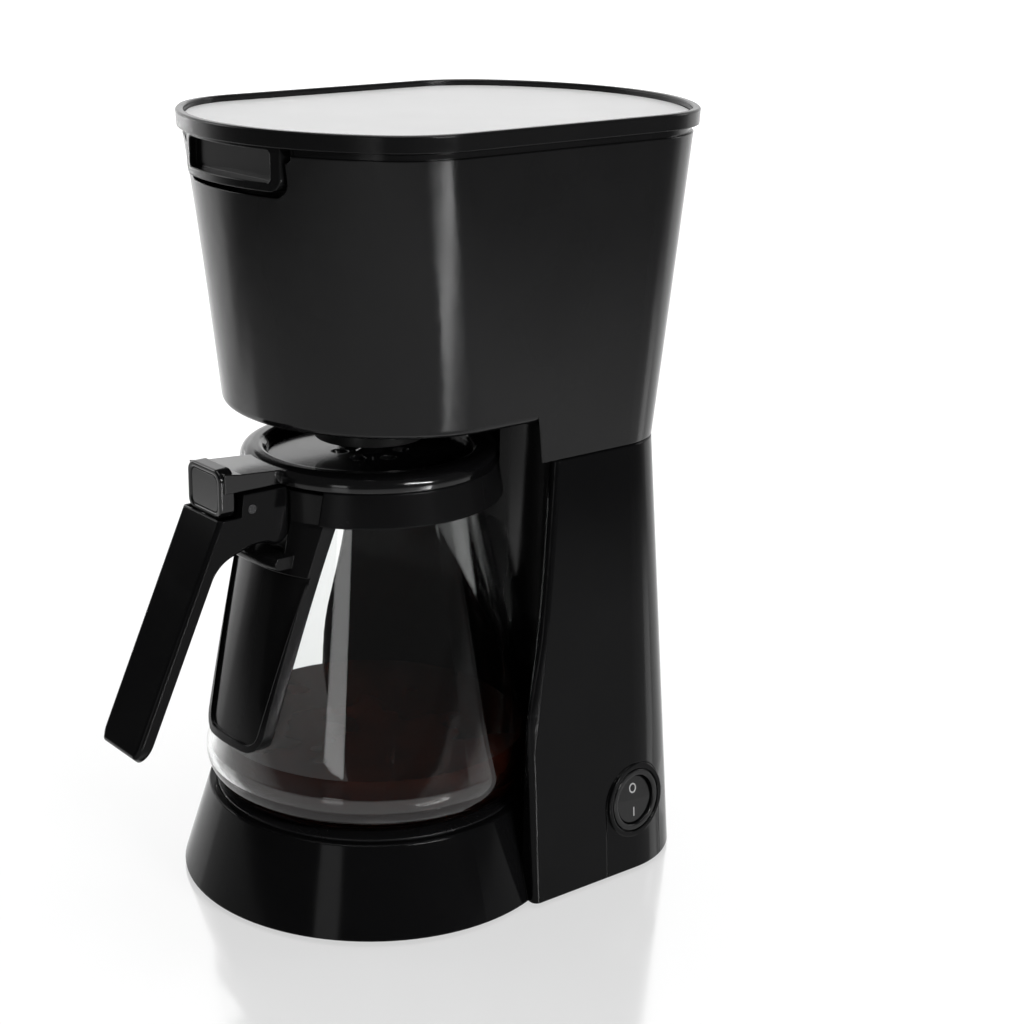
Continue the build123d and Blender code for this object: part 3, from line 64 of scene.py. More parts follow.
def colour(label, note, value):
    return FloatVectorProperty(name=label, description=note, default=value, subtype="COLOR", min=0, max=1)


def length(label, note, value):
    return FloatProperty(name=label, description=note, default=value, unit="LENGTH", min=0)


def angle(label, note, degrees):
    return FloatProperty(name=label, description=note, default=math.radians(degrees), subtype="ANGLE")


def number(label, note, value):
    return FloatProperty(name=label, description=note, default=value)


class FinishColours(bpy.types.PropertyGroup):
    """Colours of the moulded, metal, rubber and woven finishes."""

    satin: colour("Satin black", "Head housing and handle shield", (0.0078, 0.0078, 0.0081))
    gloss: colour("Gloss black", "Base, switch panel, handle and carafe lid", (0.0042, 0.0042, 0.0045))
    lid: colour("Lid black", "Collar, lid frame and switch", (0.0072, 0.0072, 0.0075))
    panel: colour("Panel grey", "Pale panel in the top lid", (0.74, 0.74, 0.74))
    inner: colour("Inner black", "Basket, filter frame, shower plate and bottom cover", (0.02, 0.02, 0.02))
    plate: colour("Plate coat", "Non-stick coat of the warming plate", (0.014, 0.014, 0.015))
    steel: colour("Steel", "Screws, nut, lid hinge pin, clips, clamp and spring", (0.62, 0.62, 0.61))
    pin: colour("Dark pin", "Blackened pin of the carafe lid", (0.07, 0.07, 0.072))
    aluminium: colour("Aluminium", "Heater and thermostat", (0.68, 0.68, 0.69))
    silicone: colour("Silicone", "Hoses, plate ring and seals", (0.66, 0.64, 0.6))
    rubber: colour("Rubber", "Feet and cord gland", (0.022, 0.022, 0.022))
    tank: colour("Tank plastic", "Water tank, riser and valve", (0.72, 0.72, 0.7))
    filter_cloth: colour("Filter mesh", "Woven filter wall", (0.42, 0.36, 0.26))
    sleeve: colour("Fuse sleeve", "Woven glass sleeves", (0.8, 0.79, 0.74))
    print_grey: colour("Mark grey", "Printed marks on the rocker", (0.5, 0.5, 0.5))


class CoffeeSettings(bpy.types.PropertyGroup):
    """The coffee in the carafe."""

    level: length("Level", "Height of the surface above the table", 0.057)
    bottom: length("Bottom", "Foot of the coffee above the table", 0.0374)
    foot_radius: length("Foot radius", "Radius where the wall would meet the foot", 0.0624)
    lean: number("Lean", "Inward lean of the wall per unit of height", 0.2272)
    corner: length("Corner", "Rounding at the bottom", 0.0107)
    deep: colour("Deep", "Colour well below the surface", (0.006, 0.0013, 0.0007))
    # The edge colour is painted light that comes in through the coffee's surface.
    edge: colour("Edge", "Colour close to the surface", (0.034, 0.0075, 0.004))


class MarkSettings(bpy.types.PropertyGroup):
    """Printed marks on the rocker."""

    ring: length("Ring radius", "Outer radius of the ring mark", 0.0019)
    stroke: length("Stroke", "Width of both marks", 0.00055)
    bar: length("Bar", "Length of the bar mark", 0.0036)
    offset: length("Offset", "Distance of each mark from the rocker's middle", 0.0046)
    height: length("Height", "Print thickness", 0.00006)


class SpringSettings(bpy.types.PropertyGroup):
    """Drip stop spring."""

    wire: length("Wire", "Wire diameter", 0.0007)
    turns: IntProperty(name="Turns", description="Turns of wire", default=4, min=1)


class StageSettings(bpy.types.PropertyGroup):
    """Floor, backdrop, room light and camera."""

    floor: colour("Floor", "Colour of floor and backdrop", (0.36, 0.36, 0.36))
    spread: length("Spread", "Half width of the floor", 40.0)
    backdrop_place: length("Backdrop place", "Distance of the backdrop from the machine", 3.0)
    backdrop_height: length("Backdrop height", "Height of the backdrop", 2.6)
    backdrop_sweep: angle("Backdrop sweep", "Angle that the backdrop goes round", 124)
    room_light: number("Room light", "Light of the dark room round the studio", 0.08)
    camera_place: FloatVectorProperty(name="Camera place", description="Where the camera stands",
                                      default=(0.5633, -0.40915, 0.3603), subtype="TRANSLATION")
    turn: angle("Turn", "Camera heading", 53.89)
    tilt: angle("Tilt", "Camera height angle", 17.81)
    lens: number("Lens", "Focal length in millimetres", 69.94)
    shift: number("Shift", "Sideways lens shift", 0.119)


class CoffeeMakerSettings(bpy.types.PropertyGroup):
    """All settings of the coffee maker."""

    colours: PointerProperty(type=FinishColours)
    coffee: PointerProperty(type=CoffeeSettings)
    marks: PointerProperty(type=MarkSettings)
    spring: PointerProperty(type=SpringSettings)
    stage: PointerProperty(type=StageSettings)


def settings():
    return bpy.context.scene.coffee_maker


def toned(shade, factor):
    """A lighter or darker tone of a colour."""
    return tuple(min(1.0, part * factor) for part in shade)


class Tree:
    """A node tree with short calls for adding and joining nodes."""

    def __init__(self, tree):
        self.tree = tree

    def add(self, kind, **values):
        node = self.tree.nodes.new("ShaderNode" + kind)
        for key, value in values.items():
            setattr(node, key, value)
        return node

    def join(self, start, end):
        self.tree.links.new(start, end)

    def feed(self, node, key, value):
        """Join a socket, or set a plain value."""
        socket = node.inputs[key]
        if isinstance(value, bpy.types.NodeSocket):
            self.join(value, socket)
        elif socket.type == "RGBA":
            socket.default_value = (*value, 1)
        else:
            socket.default_value = value

    def where(self):
        """Object coordinates."""
        return self.add("TexCoord").outputs["Object"]

    def split(self, vector):
        """The three parts of a vector."""
        node = self.add("SeparateXYZ")
        self.join(vector, node.inputs[0])
        return node.outputs

    def noise(self, vector, scale, detail=2.0, roughness=0.5, distortion=0.0):
        node = self.add("TexNoise")
        self.feed(node, "Vector", vector)
        self.feed(node, "Scale", scale)
        self.feed(node, "Detail", detail)
        self.feed(node, "Roughness", roughness)
        self.feed(node, "Distortion", distortion)
        return node.outputs["Fac"]

    def math(self, operation, first, second):
        node = self.add("Math", operation=operation)
        self.feed(node, 0, first)
        self.feed(node, 1, second)
        return node.outputs[0]

    def spread(self, value, low, high, start=0.0, end=1.0):
        """Map a value from low-high to start-end, held inside those ends."""
        node = self.add("MapRange")
        self.feed(node, "Value", value)
        self.feed(node, "From Min", low)
        self.feed(node, "From Max", high)
        self.feed(node, "To Min", start)
        self.feed(node, "To Max", end)
        return node.outputs["Result"]

    def blend(self, value, start, end):
        """Go from start to end while a value goes from nought to one."""
        return self.spread(value, 0.0, 1.0, start, end)

    def mix(self, factor, first, second):
        """Mix two colours. Sockets 6 and 7 of the node are its colours, and output 2 the mixed one."""
        node = self.add("Mix", data_type="RGBA")
        self.feed(node, 0, factor)
        self.feed(node, 6, first)
        self.feed(node, 7, second)
        return node.outputs[2]


class Effect(Tree):
    """A shader node group with named inputs and outputs."""

    def __init__(self, name, inputs, outputs):
        super().__init__(bpy.data.node_groups.new(name, "ShaderNodeTree"))
        for label, default in inputs.items():
            face = self.tree.interface.new_socket(name=label, in_out="INPUT", socket_type="NodeSocketFloat")
            face.default_value = default
        for label in outputs:
            self.tree.interface.new_socket(name=label, in_out="OUTPUT", socket_type="NodeSocketFloat")
        self.start = self.tree.nodes.new("NodeGroupInput")
        self.end = self.tree.nodes.new("NodeGroupOutput")

    def take(self, label):
        return self.start.outputs[label]

    def give(self, label, value):
        self.join(value, self.end.inputs[label])


def moulded_grain():
    """Fine moulded texture and the slow unevenness of a moulded wall."""
    effect = Effect("moulded grain", {"Grain": 2600.0, "Patch": 28.0}, ("Height", "Patches"))
    where = effect.where()
    fine = effect.noise(where, effect.take("Grain"), detail=3.0, roughness=0.62)
    slow = effect.noise(where, effect.take("Patch"))
    effect.give("Height", fine)
    effect.give("Patches", effect.spread(slow, low=0.3, high=0.7))


def handling_marks():
    """Smears and thin rubbed lines left by hands and cloths."""
    effect = Effect("handling marks", {"Size": 34.0, "Lines": 90.0}, ("Smears", "Rubs"))
    where = effect.where()
    smear = effect.noise(where, effect.take("Size"), detail=5.0, roughness=0.62, distortion=0.9)
    effect.give("Smears", effect.spread(smear, low=0.46, high=0.72))
    tilted = effect.add("Mapping")
    effect.feed(tilted, "Vector", where)
    effect.feed(tilted, "Rotation", (0.5, 0.35, 0.9))
    effect.feed(tilted, "Scale", (1.0, 14.0, 3.0))
    line = effect.noise(tilted.outputs["Vector"], effect.take("Lines"), detail=3.0, roughness=0.7)
    effect.give("Rubs", effect.spread(line, low=0.6, high=0.78))


def drawn_lines():
    """Lines along a drawn, rolled or turned metal piece."""
    effect = Effect("drawn lines", {"Lines": 500.0, "Stretch": 18.0}, ("Height", "Tone"))
    x, y, z = effect.split(effect.where())
    stretched = effect.add("CombineXYZ")
    effect.feed(stretched, "X", x)
    effect.feed(stretched, "Y", y)
    effect.feed(stretched, "Z", effect.math("MULTIPLY", z, effect.take("Stretch")))
    line = effect.noise(stretched.outputs[0], effect.take("Lines"), detail=3.0, roughness=0.6)
    effect.give("Height", line)
    effect.give("Tone", effect.spread(line, low=0.35, high=0.65))


def woven_threads():
    """Two crossed sets of threads round an upright axis, whose place in y is the given middle."""
    inputs = {"Middle": 0.0, "Around": 190.0, "Along": 2400.0}
    effect = Effect("woven threads", inputs, ("Height", "Threads"))
    x, y, z = effect.split(effect.where())
    bearing = effect.math("ARCTAN2", effect.math("SUBTRACT", y, effect.take("Middle")), x)
    across = effect.math("SINE", effect.math("MULTIPLY", bearing, effect.take("Around")), 0.0)
    along = effect.math("SINE", effect.math("MULTIPLY", z, effect.take("Along")), 0.0)
    top = effect.math("MAXIMUM", across, along)
    effect.give("Height", effect.spread(top, low=-1.0, high=1.0))
    effect.give("Threads", effect.spread(top, low=0.25, high=0.5))


class Finish(Tree):
    """A material with one Principled shader, and the effects placed in it."""

    def __init__(self, name):
        self.material = bpy.data.materials.new(name)
        self.material.use_nodes = True
        super().__init__(self.material.node_tree)
        self.shader = self.tree.nodes["Principled BSDF"]

    def effect(self, name, **values):
        node = self.add("Group", node_tree=bpy.data.node_groups[name])
        for key, value in values.items():
            node.inputs[key].default_value = value
        return node.outputs

    def set(self, **values):
        """Set the shader's inputs, named with low lines for spaces."""
        for key, value in values.items():
            self.feed(self.shader, key.replace("_", " "), value)

    def bump(self, height, strength, distance, edge=0.0):
        """Raise the surface by a height, on edges softened to a radius where one is given."""
        node = self.add("Bump")
        self.feed(node, "Height", height)
        self.feed(node, "Strength", strength)
        self.feed(node, "Distance", distance)
        if edge:
            soft = self.add("Bevel", samples=6)
            self.feed(soft, "Radius", edge)
            self.join(soft.outputs[0], node.inputs["Normal"])
        self.join(node.outputs[0], self.shader.inputs["Normal"])


# In these finishes, clean is the roughness of a bare surface, and handled that of a smeared or rubbed one.


def plastic(name, shade, clean, handled, grain=2600.0, depth=0.05, smears=0.5, edge=0.0006, specular=0.5,
            tones=1.3):
    """Moulded plastic: two close tones, uneven gloss, fine texture and softened edges."""
    rub_share = 0.6
    finish = Finish(name)
    mould = finish.effect("moulded grain", Grain=grain)
    hands = finish.effect("handling marks")
    tone = finish.mix(mould["Patches"], tuple(shade), toned(shade, tones))
    smeared = finish.math("MULTIPLY", hands["Smears"], smears)
    rubbed = finish.math("MULTIPLY", hands["Rubs"], smears * rub_share)
    dull = finish.math("MAXIMUM", smeared, rubbed)
    finish.set(Base_Color=tone, Roughness=finish.blend(dull, clean, handled), Specular_IOR_Level=specular)
    finish.bump(mould["Height"], strength=depth, distance=0.0002, edge=edge)
    return finish.material


def metal(name, shade, clean, handled, lines=500.0, stretch=18.0, depth=0.1):
    """Drawn or plated metal: fine lines and a little dulling."""
    line_share = 0.6
    groove = toned(shade, 0.8)
    finish = Finish(name)
    drawn = finish.effect("drawn lines", Lines=lines, Stretch=stretch)
    hands = finish.effect("handling marks", Size=120.0)
    tone = finish.mix(drawn["Tone"], groove, tuple(shade))
    lined = finish.math("MULTIPLY", drawn["Tone"], line_share)
    dull = finish.math("MAXIMUM", lined, hands["Smears"])
    finish.set(Base_Color=tone, Metallic=1.0, Roughness=finish.blend(dull, clean, handled))
    finish.bump(drawn["Height"], strength=depth, distance=0.0001, edge=0.0002)
    return finish.material


def soft_polymer(name, shade, clean, handled, see_through=0.0, depth=0.1):
    """Rubber, silicone or milky plastic."""
    patch = toned(shade, 0.82)
    finish = Finish(name)
    mould = finish.effect("moulded grain", Grain=1400.0, Patch=60.0)
    hands = finish.effect("handling marks", Size=70.0)
    tone = finish.mix(mould["Patches"], patch, tuple(shade))
    finish.set(Base_Color=tone, Roughness=finish.blend(hands["Smears"], clean, handled))
    finish.set(Subsurface_Weight=see_through, Subsurface_Radius=(0.004, 0.0035, 0.003))
    finish.bump(mould["Height"], strength=depth, distance=0.0003, edge=0.0003)
    return finish.material


def woven(name, shade, centre, around, along, open_holes):
    """Woven wall round an upright axis: threads with open holes between, or a closed sleeve."""
    painted_gap_shade = toned(shade, 0.45)
    stain = toned(shade, 0.7)
    finish = Finish(name)
    weave = finish.effect("woven threads", Middle=centre, Around=around, Along=along)
    mould = finish.effect("moulded grain", Grain=900.0, Patch=50.0)
    # Painted shade: the threads darken towards the gaps between them.
    tone = finish.mix(weave["Height"], painted_gap_shade, tuple(shade))
    stained = finish.mix(mould["Patches"], tone, stain)
    finish.set(Base_Color=stained, Roughness=finish.blend(weave["Height"], start=0.75, end=0.5))
    if open_holes:
        finish.set(Alpha=weave["Threads"])
    finish.bump(weave["Height"], strength=0.6, distance=0.0002)
    return finish.material


def jug_glass():
    """Clear blown glass with slight waves and a few smears."""
    finish = Finish("jug glass")
    mould = finish.effect("moulded grain", Grain=60.0, Patch=18.0)
    hands = finish.effect("handling marks", Size=26.0, Lines=60.0)
    tint = finish.mix(mould["Patches"], (0.955, 0.97, 0.962), (0.985, 0.99, 0.987))
    finish.set(Base_Color=tint, Roughness=finish.blend(hands["Smears"], start=0.0, end=0.035))
    finish.set(Transmission_Weight=1.0, IOR=1.47, Specular_IOR_Level=0.14)
    finish.bump(mould["Height"], strength=0.03, distance=0.0004)
    return finish.material


def coffee_liquid(size):
    """Black coffee, with painted light: a redder band just below its surface, where light comes in through
    the surface.
    """
    painted_light_from = size.level - 0.012
    painted_light_to = size.level - 0.001
    finish = Finish("coffee")
    height = finish.split(finish.where())[2]
    mould = finish.effect("moulded grain", Grain=120.0, Patch=40.0)
    # Painted light: the coffee turns redder and lighter towards its surface, made uneven by the grain
    # patches.
    near = finish.spread(height, painted_light_from, painted_light_to)
    painted_light_band = finish.math("MULTIPLY", near, finish.blend(mould["Patches"], start=0.6, end=1.0))
    finish.set(Base_Color=finish.mix(painted_light_band, tuple(size.deep), tuple(size.edge)))
    finish.set(Roughness=finish.blend(mould["Patches"], start=0.03, end=0.07))
    finish.set(IOR=1.34, Specular_IOR_Level=0.08)
    finish.bump(mould["Height"], strength=0.02, distance=0.0005)
    return finish.material


def dress(material, *nodes):
    """Put a finish on CAD nodes."""
    for name in nodes:
        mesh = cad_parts[name].data
        mesh.materials.clear()
        mesh.materials.append(material)


def new_object(name, bm, material):
    """Make an object of the scene from a bmesh."""
    mesh = bpy.data.meshes.new(name)
    bm.to_mesh(mesh)
    bm.free()
    mesh.materials.append(material)
    thing = bpy.data.objects.new(name, mesh)
    bpy.context.scene.collection.objects.link(thing)
    return thing


def piece(name, bm, material, body, smooth=True):
    """Make a new piece of a bmesh, closed and facing outwards, riding on a body."""
    bmesh.ops.remove_doubles(bm, verts=bm.verts, dist=1e-7)
    bmesh.ops.recalc_face_normals(bm, faces=bm.faces)
    for face in bm.faces:
        face.smooth = smooth
    thing = new_object(name, bm, material)
    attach(thing, body)
    return thing


def extended(bm, vert):
    """A new vertex at the given one's place, joined to it by an edge."""
    return bmesh.ops.extrude_vert_indiv(bm, verts=[vert])["verts"][0]


def verts_of(geometry):
    return [part for part in geometry if isinstance(part, bmesh.types.BMVert)]


def middle(node):
    low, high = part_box(node)
    return (low + high) / 2


class Step(bpy.types.Operator):
    """Base of the building steps."""

    bl_options = {"REGISTER", "UNDO"}

    def execute(self, context):
        self.build(settings())
        return {"FINISHED"}


class COFFEE_MAKER_OT_effects(Step):
    """Build the shared grain, wear, line and weave effects."""

    bl_idname = "coffee_maker.effects"
    bl_label = "Shared effects"

    def build(self, values):
        moulded_grain()
        handling_marks()
        drawn_lines()
        woven_threads()


class COFFEE_MAKER_OT_body(Step):
    """Finish the housings, lid, switch panel, bottom and feet."""

    bl_idname = "coffee_maker.body"
    bl_label = "Housings and lid"

    def build(self, values):
        shades = values.colours
        satin = plastic("satin black", shades.satin, clean=0.15, handled=0.22, depth=0.03, specular=0.24)
        dress(satin, "head_housing")
        gloss = plastic("gloss black", shades.gloss, clean=0.1, handled=0.2, depth=0.015, specular=0.09)
        dress(gloss, "base_housing", "switch_panel")
        edging = plastic("lid frame black", shades.lid, clean=0.18, handled=0.3, depth=0.03, specular=0.19)
        dress(edging, "lid_frame")
        pale = plastic("panel grey", shades.panel, clean=0.34, handled=0.46, grain=5200.0, depth=0.06,
                       smears=0.2, specular=0.25, tones=1.04)
        dress(pale, "lid_panel")
        coarse = plastic("bottom black", shades.inner, clean=0.42, handled=0.6, grain=1800.0, depth=0.2)
        dress(coarse, "bottom_cover")
        rubber = soft_polymer("rubber", shades.rubber, clean=0.6, handled=0.8, depth=0.25)
        dress(rubber, "feet", "cord_gland")


class COFFEE_MAKER_OT_brewing(Step):
    """Finish the basket, filter, drip stop, tank and water path."""

    bl_idname = "coffee_maker.brewing"
    bl_label = "Basket, filter and water path"

    def build(self, values):
        shades = values.colours
        black = plastic("basket black", shades.inner, clean=0.3, handled=0.5, grain=1800.0, depth=0.12)
        dress(black, "filter_basket", "shower_plate", "drip_stop_plunger")
        grey = plastic("filter frame", toned(shades.inner, 1.6), clean=0.35, handled=0.5, depth=0.1)
        dress(grey, "filter_frame")
        cloth = woven("filter mesh", shades.filter_cloth, centre=middle("filter_mesh").y, around=190.0,
                      along=5200.0, open_holes=True)
        dress(cloth, "filter_mesh")
        milky = soft_polymer("milky plastic", shades.tank, clean=0.3, handled=0.45, see_through=0.3)
        dress(milky, "water_tank", "check_valve", "riser_tube")
        silicone = soft_polymer("silicone", shades.silicone, clean=0.4, handled=0.6, see_through=0.4)
        dress(silicone, "inlet_hose", "riser_hose", "tank_grommet", "plate_ring", "drip_stop_seal")


class COFFEE_MAKER_OT_heating(Step):
    """Finish the warming plate, heater, safety parts and fasteners."""

    bl_idname = "coffee_maker.heating"
    bl_label = "Plate, heater and fasteners"

    def build(self, values):
        shades = values.colours
        coat = plastic("plate coat", shades.plate, clean=0.24, handled=0.45, grain=3400.0, depth=0.2,
                       smears=0.9)
        dress(coat, "warming_plate")
        steel = metal("zinc steel", shades.steel, clean=0.22, handled=0.42)
        dress(steel, "cover_screws", "head_screws", "clamp_nut", "lid_hinge_pin", "handle_screw",
              "hose_clips", "heater_clamp", "drip_stop_spring")
        dark = metal("dark pin", shades.pin, clean=0.2, handled=0.36)
        dress(dark, "lid_pivot_pin")
        cast = metal("cast aluminium", shades.aluminium, clean=0.35, handled=0.55, lines=300.0, stretch=1.0,
                     depth=0.3)
        dress(cast, "heater", "thermostat")
        sleeve = woven("fuse sleeve", shades.sleeve, centre=middle("thermal_fuses").y, around=40.0,
                       along=4200.0, open_holes=False)
        dress(sleeve, "thermal_fuses")


class COFFEE_MAKER_OT_carafe(Step):
    """Finish the carafe's glass, collar, handle and lid."""

    bl_idname = "coffee_maker.carafe"
    bl_label = "Carafe"

    def build(self, values):
        shades = values.colours
        dress(jug_glass(), "carafe_glass")
        handle = plastic("handle black", shades.gloss, clean=0.1, handled=0.22, depth=0.02, specular=0.1)
        dress(handle, "carafe_handle")
        shield = plastic("shield black", shades.satin, clean=0.14, handled=0.26, depth=0.02, specular=0.16)
        dress(shield, "handle_shield")
        lid = plastic("carafe lid black", shades.gloss, clean=0.1, handled=0.2, depth=0.02, specular=0.5)
        dress(lid, "carafe_lid", "thumb_pad")
        collar = plastic("collar black", shades.lid, clean=0.22, handled=0.36, depth=0.03, specular=0.07)
        dress(collar, "carafe_collar")


class COFFEE_MAKER_OT_coffee(Step):
    """Fill the carafe with coffee."""

    bl_idname = "coffee_maker.coffee"
    bl_label = "Coffee"

    def build(self, values):
        size = values.coffee
        axis = Vector((0, middle("warming_plate").y, 0))
        bm = self.half_outline(size, axis)
        bmesh.ops.spin(bm, geom=bm.verts[:] + bm.edges[:], cent=axis, axis=(0, 0, 1), angle=math.tau,
                       steps=96, use_merge=True)
        liquid = piece("coffee", bm, coffee_liquid(size), "carafe")
        liquid.data.set_sharp_from_angle(angle=math.radians(40))

    def half_outline(self, size, axis):
        """Outline from the axis along the foot, round the corner, up the wall and back to the axis."""
        slant = math.atan(size.lean)
        corner_radius = size.foot_radius - size.corner * (size.lean + 1 / math.cos(slant))
        corner_centre = axis + Vector((corner_radius, 0, size.bottom + size.corner))
        bm = bmesh.new()
        foot = bm.verts.new(axis + Vector((corner_radius, 0, size.bottom)))
        bmesh.ops.spin(bm, geom=[foot], cent=corner_centre, axis=(0, -1, 0), angle=math.pi / 2 - slant,
                       steps=10)
        bm.verts.ensure_lookup_table()
        bend = max(bm.verts, key=lambda vert: vert.co.z)
        rise = size.level - bend.co.z
        brim = extended(bm, bend)
        brim.co += Vector((-rise * size.lean, 0, rise))
        crown = extended(bm, brim)
        crown.co.x = axis.x
        base = min(bm.verts, key=lambda vert: (vert.co.z, vert.co.x))
        pole = extended(bm, base)
        pole.co.x = axis.x
        return bm


class COFFEE_MAKER_OT_switch(Step):
    """Finish the switch and print its ring and bar marks."""

    bl_idname = "coffee_maker.switch"
    bl_label = "Switch"

    def build(self, values):
        shades = values.colours
        size = values.marks
        black = plastic("switch black", shades.lid, clean=0.16, handled=0.3, depth=0.04, specular=0.3)
        dress(black, "rocker", "switch_bezel", "switch_body")
        ink = plastic("mark print", shades.print_grey, clean=0.45, handled=0.6, smears=0.4, edge=0.0)
        for name, outline, up in (("mark_ring", self.ring, 1), ("mark_bar", self.bar, -1)):
            spot, out = self.face_point(up * size.offset)
            bm = bmesh.new()
            outline(bm, size)
            raised = bmesh.ops.extrude_face_region(bm, geom=bm.faces[:])["geom"]
            bmesh.ops.translate(bm, vec=(0, 0, size.height), verts=verts_of(raised))
            side = Vector((0, 0, 1)).cross(out).normalized()
            turn = Matrix((side, out.cross(side), out)).transposed().to_4x4()
            bmesh.ops.transform(bm, matrix=Matrix.Translation(spot) @ turn, verts=bm.verts)
            piece(name, bm, ink, "rocker", smooth=False)

    def ring(self, bm, size):
        inside = size.ring - size.stroke
        grown = size.ring / inside
        bmesh.ops.create_circle(bm, segments=40, radius=inside)
        rim = bmesh.ops.extrude_edge_only(bm, edges=bm.edges[:])["geom"]
        bmesh.ops.scale(bm, vec=(grown, grown, 1), verts=verts_of(rim))

    def bar(self, bm, size):
        bmesh.ops.create_grid(bm, x_segments=1, y_segments=1, size=0.5)
        bmesh.ops.scale(bm, vec=(size.stroke, size.bar, 1), verts=bm.verts)

    def face_point(self, up):
        """Point and outward direction on the rocker's face, that far above its middle."""
        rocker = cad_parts["rocker"]
        well_outside = 0.1
        start = middle("rocker") + Vector((well_outside, 0, up))
        found, spot, out, _ = rocker.ray_cast(start, Vector((-1, 0, 0)))
        if not found:
            raise RuntimeError("the rocker's face was not found for its mark")
        return spot, out.normalized()


class COFFEE_MAKER_OT_spring(Step):
    """Wind the drip stop spring."""

    bl_idname = "coffee_maker.spring"
    bl_label = "Drip stop spring"

    def build(self, values):
        size = values.spring
        low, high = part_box("drip_stop_spring")
        centre = (low + high) / 2
        coil = (high.x - low.x) / 2 - size.wire / 2
        run = high.z - low.z - size.wire
        wire_end = Matrix.Translation((centre.x + coil, centre.y, low.z + size.wire / 2))
        upright = Matrix.Rotation(math.pi / 2, 4, "X")
        turn_parts = 36
        parts = turn_parts * size.turns
        bm = bmesh.new()
        bmesh.ops.create_circle(bm, segments=10, radius=size.wire / 2, cap_ends=True,
                                matrix=wire_end @ upright)
        bmesh.ops.spin(bm, geom=bm.faces[:], cent=centre, axis=(0, 0, 1), dvec=(0, 0, run / parts),
                       angle=math.tau * size.turns, steps=parts)
        wire = piece("spring_coil", bm, bpy.data.materials["zinc steel"], "drip_stop")
        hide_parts("drip_stop_spring")
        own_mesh(wire)


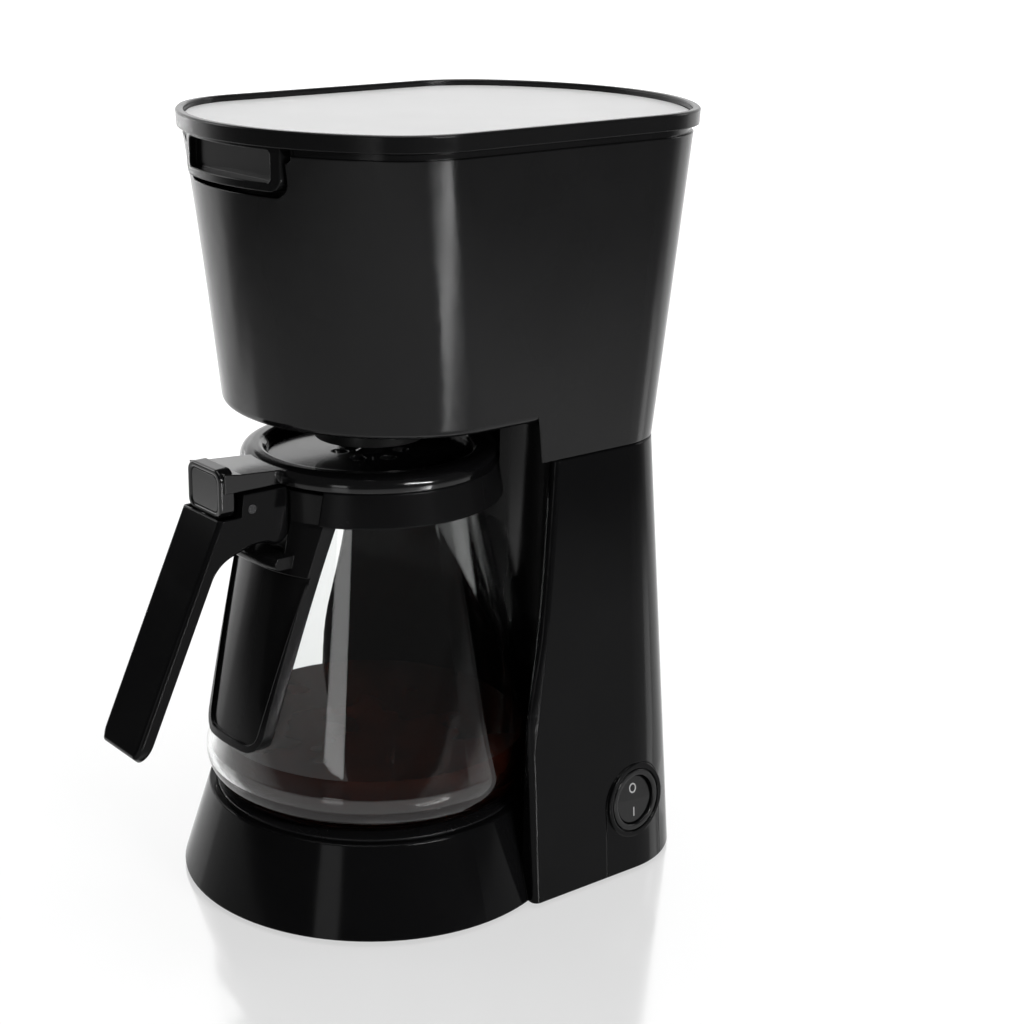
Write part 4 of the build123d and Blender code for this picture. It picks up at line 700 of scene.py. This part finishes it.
class COFFEE_MAKER_OT_stage(Step):
    """Set the floor, backdrop, lamps, world and camera."""

    bl_idname = "coffee_maker.stage"
    bl_label = "Stage"

    def build(self, values):
        stage = values.stage
        self.floor(stage)
        self.backdrop(stage)
        self.world(stage)
        self.lamp("top_softbox", place=(0.0, 0.1, 1.5), aim_height=0.1, wide=1.3, tall=1.1, power=13.0)
        self.lamp("left_softbox", place=(-1.6, -1.0, 0.9), aim_height=0.15, wide=0.6, tall=0.8, power=5.0)
        self.lamp("corner_strip", place=(2.25, 0.3, 0.76), aim_height=0.16, wide=0.12, tall=1.0, power=24.0,
                  roll=math.radians(62))
        self.lamp("right_softbox", place=(0.6, 1.9, 0.8), aim_height=0.15, wide=0.5, tall=0.8, power=5.0)
        self.lamp("front_fill", place=(1.0, -1.8, 0.3), aim_height=0.1, wide=0.5, tall=0.5, power=1.6)
        self.camera(stage)
        bpy.context.scene.view_settings.view_transform = "Standard"

    def camera(self, stage):
        camera = bpy.data.objects.new("camera", bpy.data.cameras.new("camera"))
        camera.data.sensor_width = 36
        camera.data.lens = stage.lens
        camera.data.shift_x = stage.shift
        camera.data.clip_start = 0.02
        camera.location = stage.camera_place
        camera.rotation_euler = (math.pi / 2 - stage.tilt, 0, stage.turn)
        bpy.context.scene.collection.objects.link(camera)
        bpy.context.scene.camera = camera

    def seen(self, tree, where, reach, turn):
        """One for rays that show the background, nought for the rest.

        Glass shows it behind the machine only, and mirrors show it behind and close round the machine."""
        path = tree.add("LightPath").outputs
        along = tree.add("VectorMath", operation="DOT_PRODUCT")
        tree.feed(along, 0, where)
        tree.feed(along, 1, (-math.sin(turn), math.cos(turn), 0))
        behind = tree.spread(tree.math("DIVIDE", along.outputs["Value"], reach), low=0.2, high=0.5)
        close = tree.spread(reach, low=0.85, high=0.5)
        through = tree.math("MULTIPLY", path["Is Transmission Ray"], behind)
        mirrored = tree.math("MULTIPLY", path["Is Glossy Ray"], tree.math("MAXIMUM", behind, close))
        return tree.math("MAXIMUM", path["Is Camera Ray"], tree.math("MAXIMUM", through, mirrored))

    def paper(self, name, stage, near, far):
        """Studio paper that keeps a shadow. Near and far are its glow close to the machine and away."""
        near_reach = 0.4
        far_reach = 2.4
        finish = Finish(name)
        mould = finish.effect("moulded grain", Grain=400.0, Patch=3.0)
        tone = finish.mix(mould["Patches"], toned(stage.floor, 0.98), tuple(stage.floor))
        finish.set(Base_Color=tone, Roughness=finish.blend(mould["Patches"], start=0.1, end=0.12))
        finish.set(Specular_IOR_Level=1.0, IOR=2.1)
        where = finish.where()
        distance = finish.add("VectorMath", operation="LENGTH")
        finish.feed(distance, 0, where)
        reach = distance.outputs["Value"]
        white = finish.spread(reach, near_reach, far_reach, near, far)
        shown = self.seen(finish, where, reach, stage.turn)
        glow = finish.add("Emission")
        finish.feed(glow, "Strength", finish.math("MULTIPLY", shown, white))
        both = finish.add("AddShader")
        finish.join(finish.shader.outputs[0], both.inputs[0])
        finish.join(glow.outputs[0], both.inputs[1])
        finish.join(both.outputs[0], finish.tree.nodes["Material Output"].inputs["Surface"])
        return finish.material

    def floor(self, stage):
        bm = bmesh.new()
        bmesh.ops.create_grid(bm, x_segments=1, y_segments=1, size=stage.spread)
        thing = new_object("floor", bm, self.paper("studio floor", stage, near=0.56, far=0.86))

    def backdrop(self, stage):
        """Curved wall behind the machine, facing the camera."""
        bm = bmesh.new()
        foot = bm.verts.new((0, stage.backdrop_place, 0))
        top = extended(bm, foot)
        top.co.z = stage.backdrop_height
        turn = Matrix.Rotation(stage.turn - stage.backdrop_sweep / 2, 3, "Z")
        bmesh.ops.rotate(bm, cent=(0, 0, 0), matrix=turn, verts=bm.verts)
        bmesh.ops.spin(bm, geom=bm.verts[:] + bm.edges[:], cent=(0, 0, 0), axis=(0, 0, 1),
                       angle=stage.backdrop_sweep, steps=48)
        thing = new_object("backdrop", bm, self.paper("studio backdrop", stage, near=0.9, far=0.95))

    def world(self, stage):
        """A dark room that looks white to the camera alone."""
        world = bpy.data.worlds.new("studio")
        world.use_nodes = True
        tree = Tree(world.node_tree)
        glow = world.node_tree.nodes["Background"]
        tree.feed(glow, "Color", (1.0, 1.0, 1.0))
        seen = tree.add("LightPath").outputs["Is Camera Ray"]
        tree.feed(glow, "Strength", tree.blend(seen, stage.room_light, 1.0))
        bpy.context.scene.world = world

    def lamp(self, name, place, aim_height, wide, tall, power, roll=0.0):
        """A softbox that faces the upright axis at a height."""
        light = bpy.data.lights.new(name, "AREA")
        light.shape = "RECTANGLE"
        light.size = wide
        light.size_y = tall
        light.energy = power
        lamp = bpy.data.objects.new(name, light)
        lamp.location = place
        aim = Vector((0, 0, aim_height))
        facing = (aim - Vector(place)).to_track_quat("-Z", "Y").to_matrix()
        lamp.rotation_euler = (facing @ Matrix.Rotation(roll, 3, "Z")).to_euler()
        bpy.context.scene.collection.objects.link(lamp)


steps = (COFFEE_MAKER_OT_effects, COFFEE_MAKER_OT_body, COFFEE_MAKER_OT_brewing, COFFEE_MAKER_OT_heating,
         COFFEE_MAKER_OT_carafe, COFFEE_MAKER_OT_coffee, COFFEE_MAKER_OT_switch, COFFEE_MAKER_OT_spring,
         COFFEE_MAKER_OT_stage)


class COFFEE_MAKER_PT_panel(bpy.types.Panel):
    """Lists the building steps."""

    bl_label = "Coffee maker"
    bl_idname = "COFFEE_MAKER_PT_panel"
    bl_space_type = "VIEW_3D"
    bl_region_type = "UI"
    bl_category = "Coffee maker"

    def draw(self, context):
        for step in steps:
            self.layout.operator(step.bl_idname)


classes = (FinishColours, CoffeeSettings, MarkSettings, SpringSettings, StageSettings, CoffeeMakerSettings,
           *steps, COFFEE_MAKER_PT_panel)


def register():
    for kind in classes:
        bpy.utils.register_class(kind)
    bpy.types.Scene.coffee_maker = PointerProperty(type=CoffeeMakerSettings)


def unregister():
    del bpy.types.Scene.coffee_maker
    for kind in reversed(classes):
        bpy.utils.unregister_class(kind)


def main():
    register()
    for step in steps:
        group, name = step.bl_idname.split(".")
        getattr(getattr(bpy.ops, group), name)()


if __name__ == "__main__":
    main()
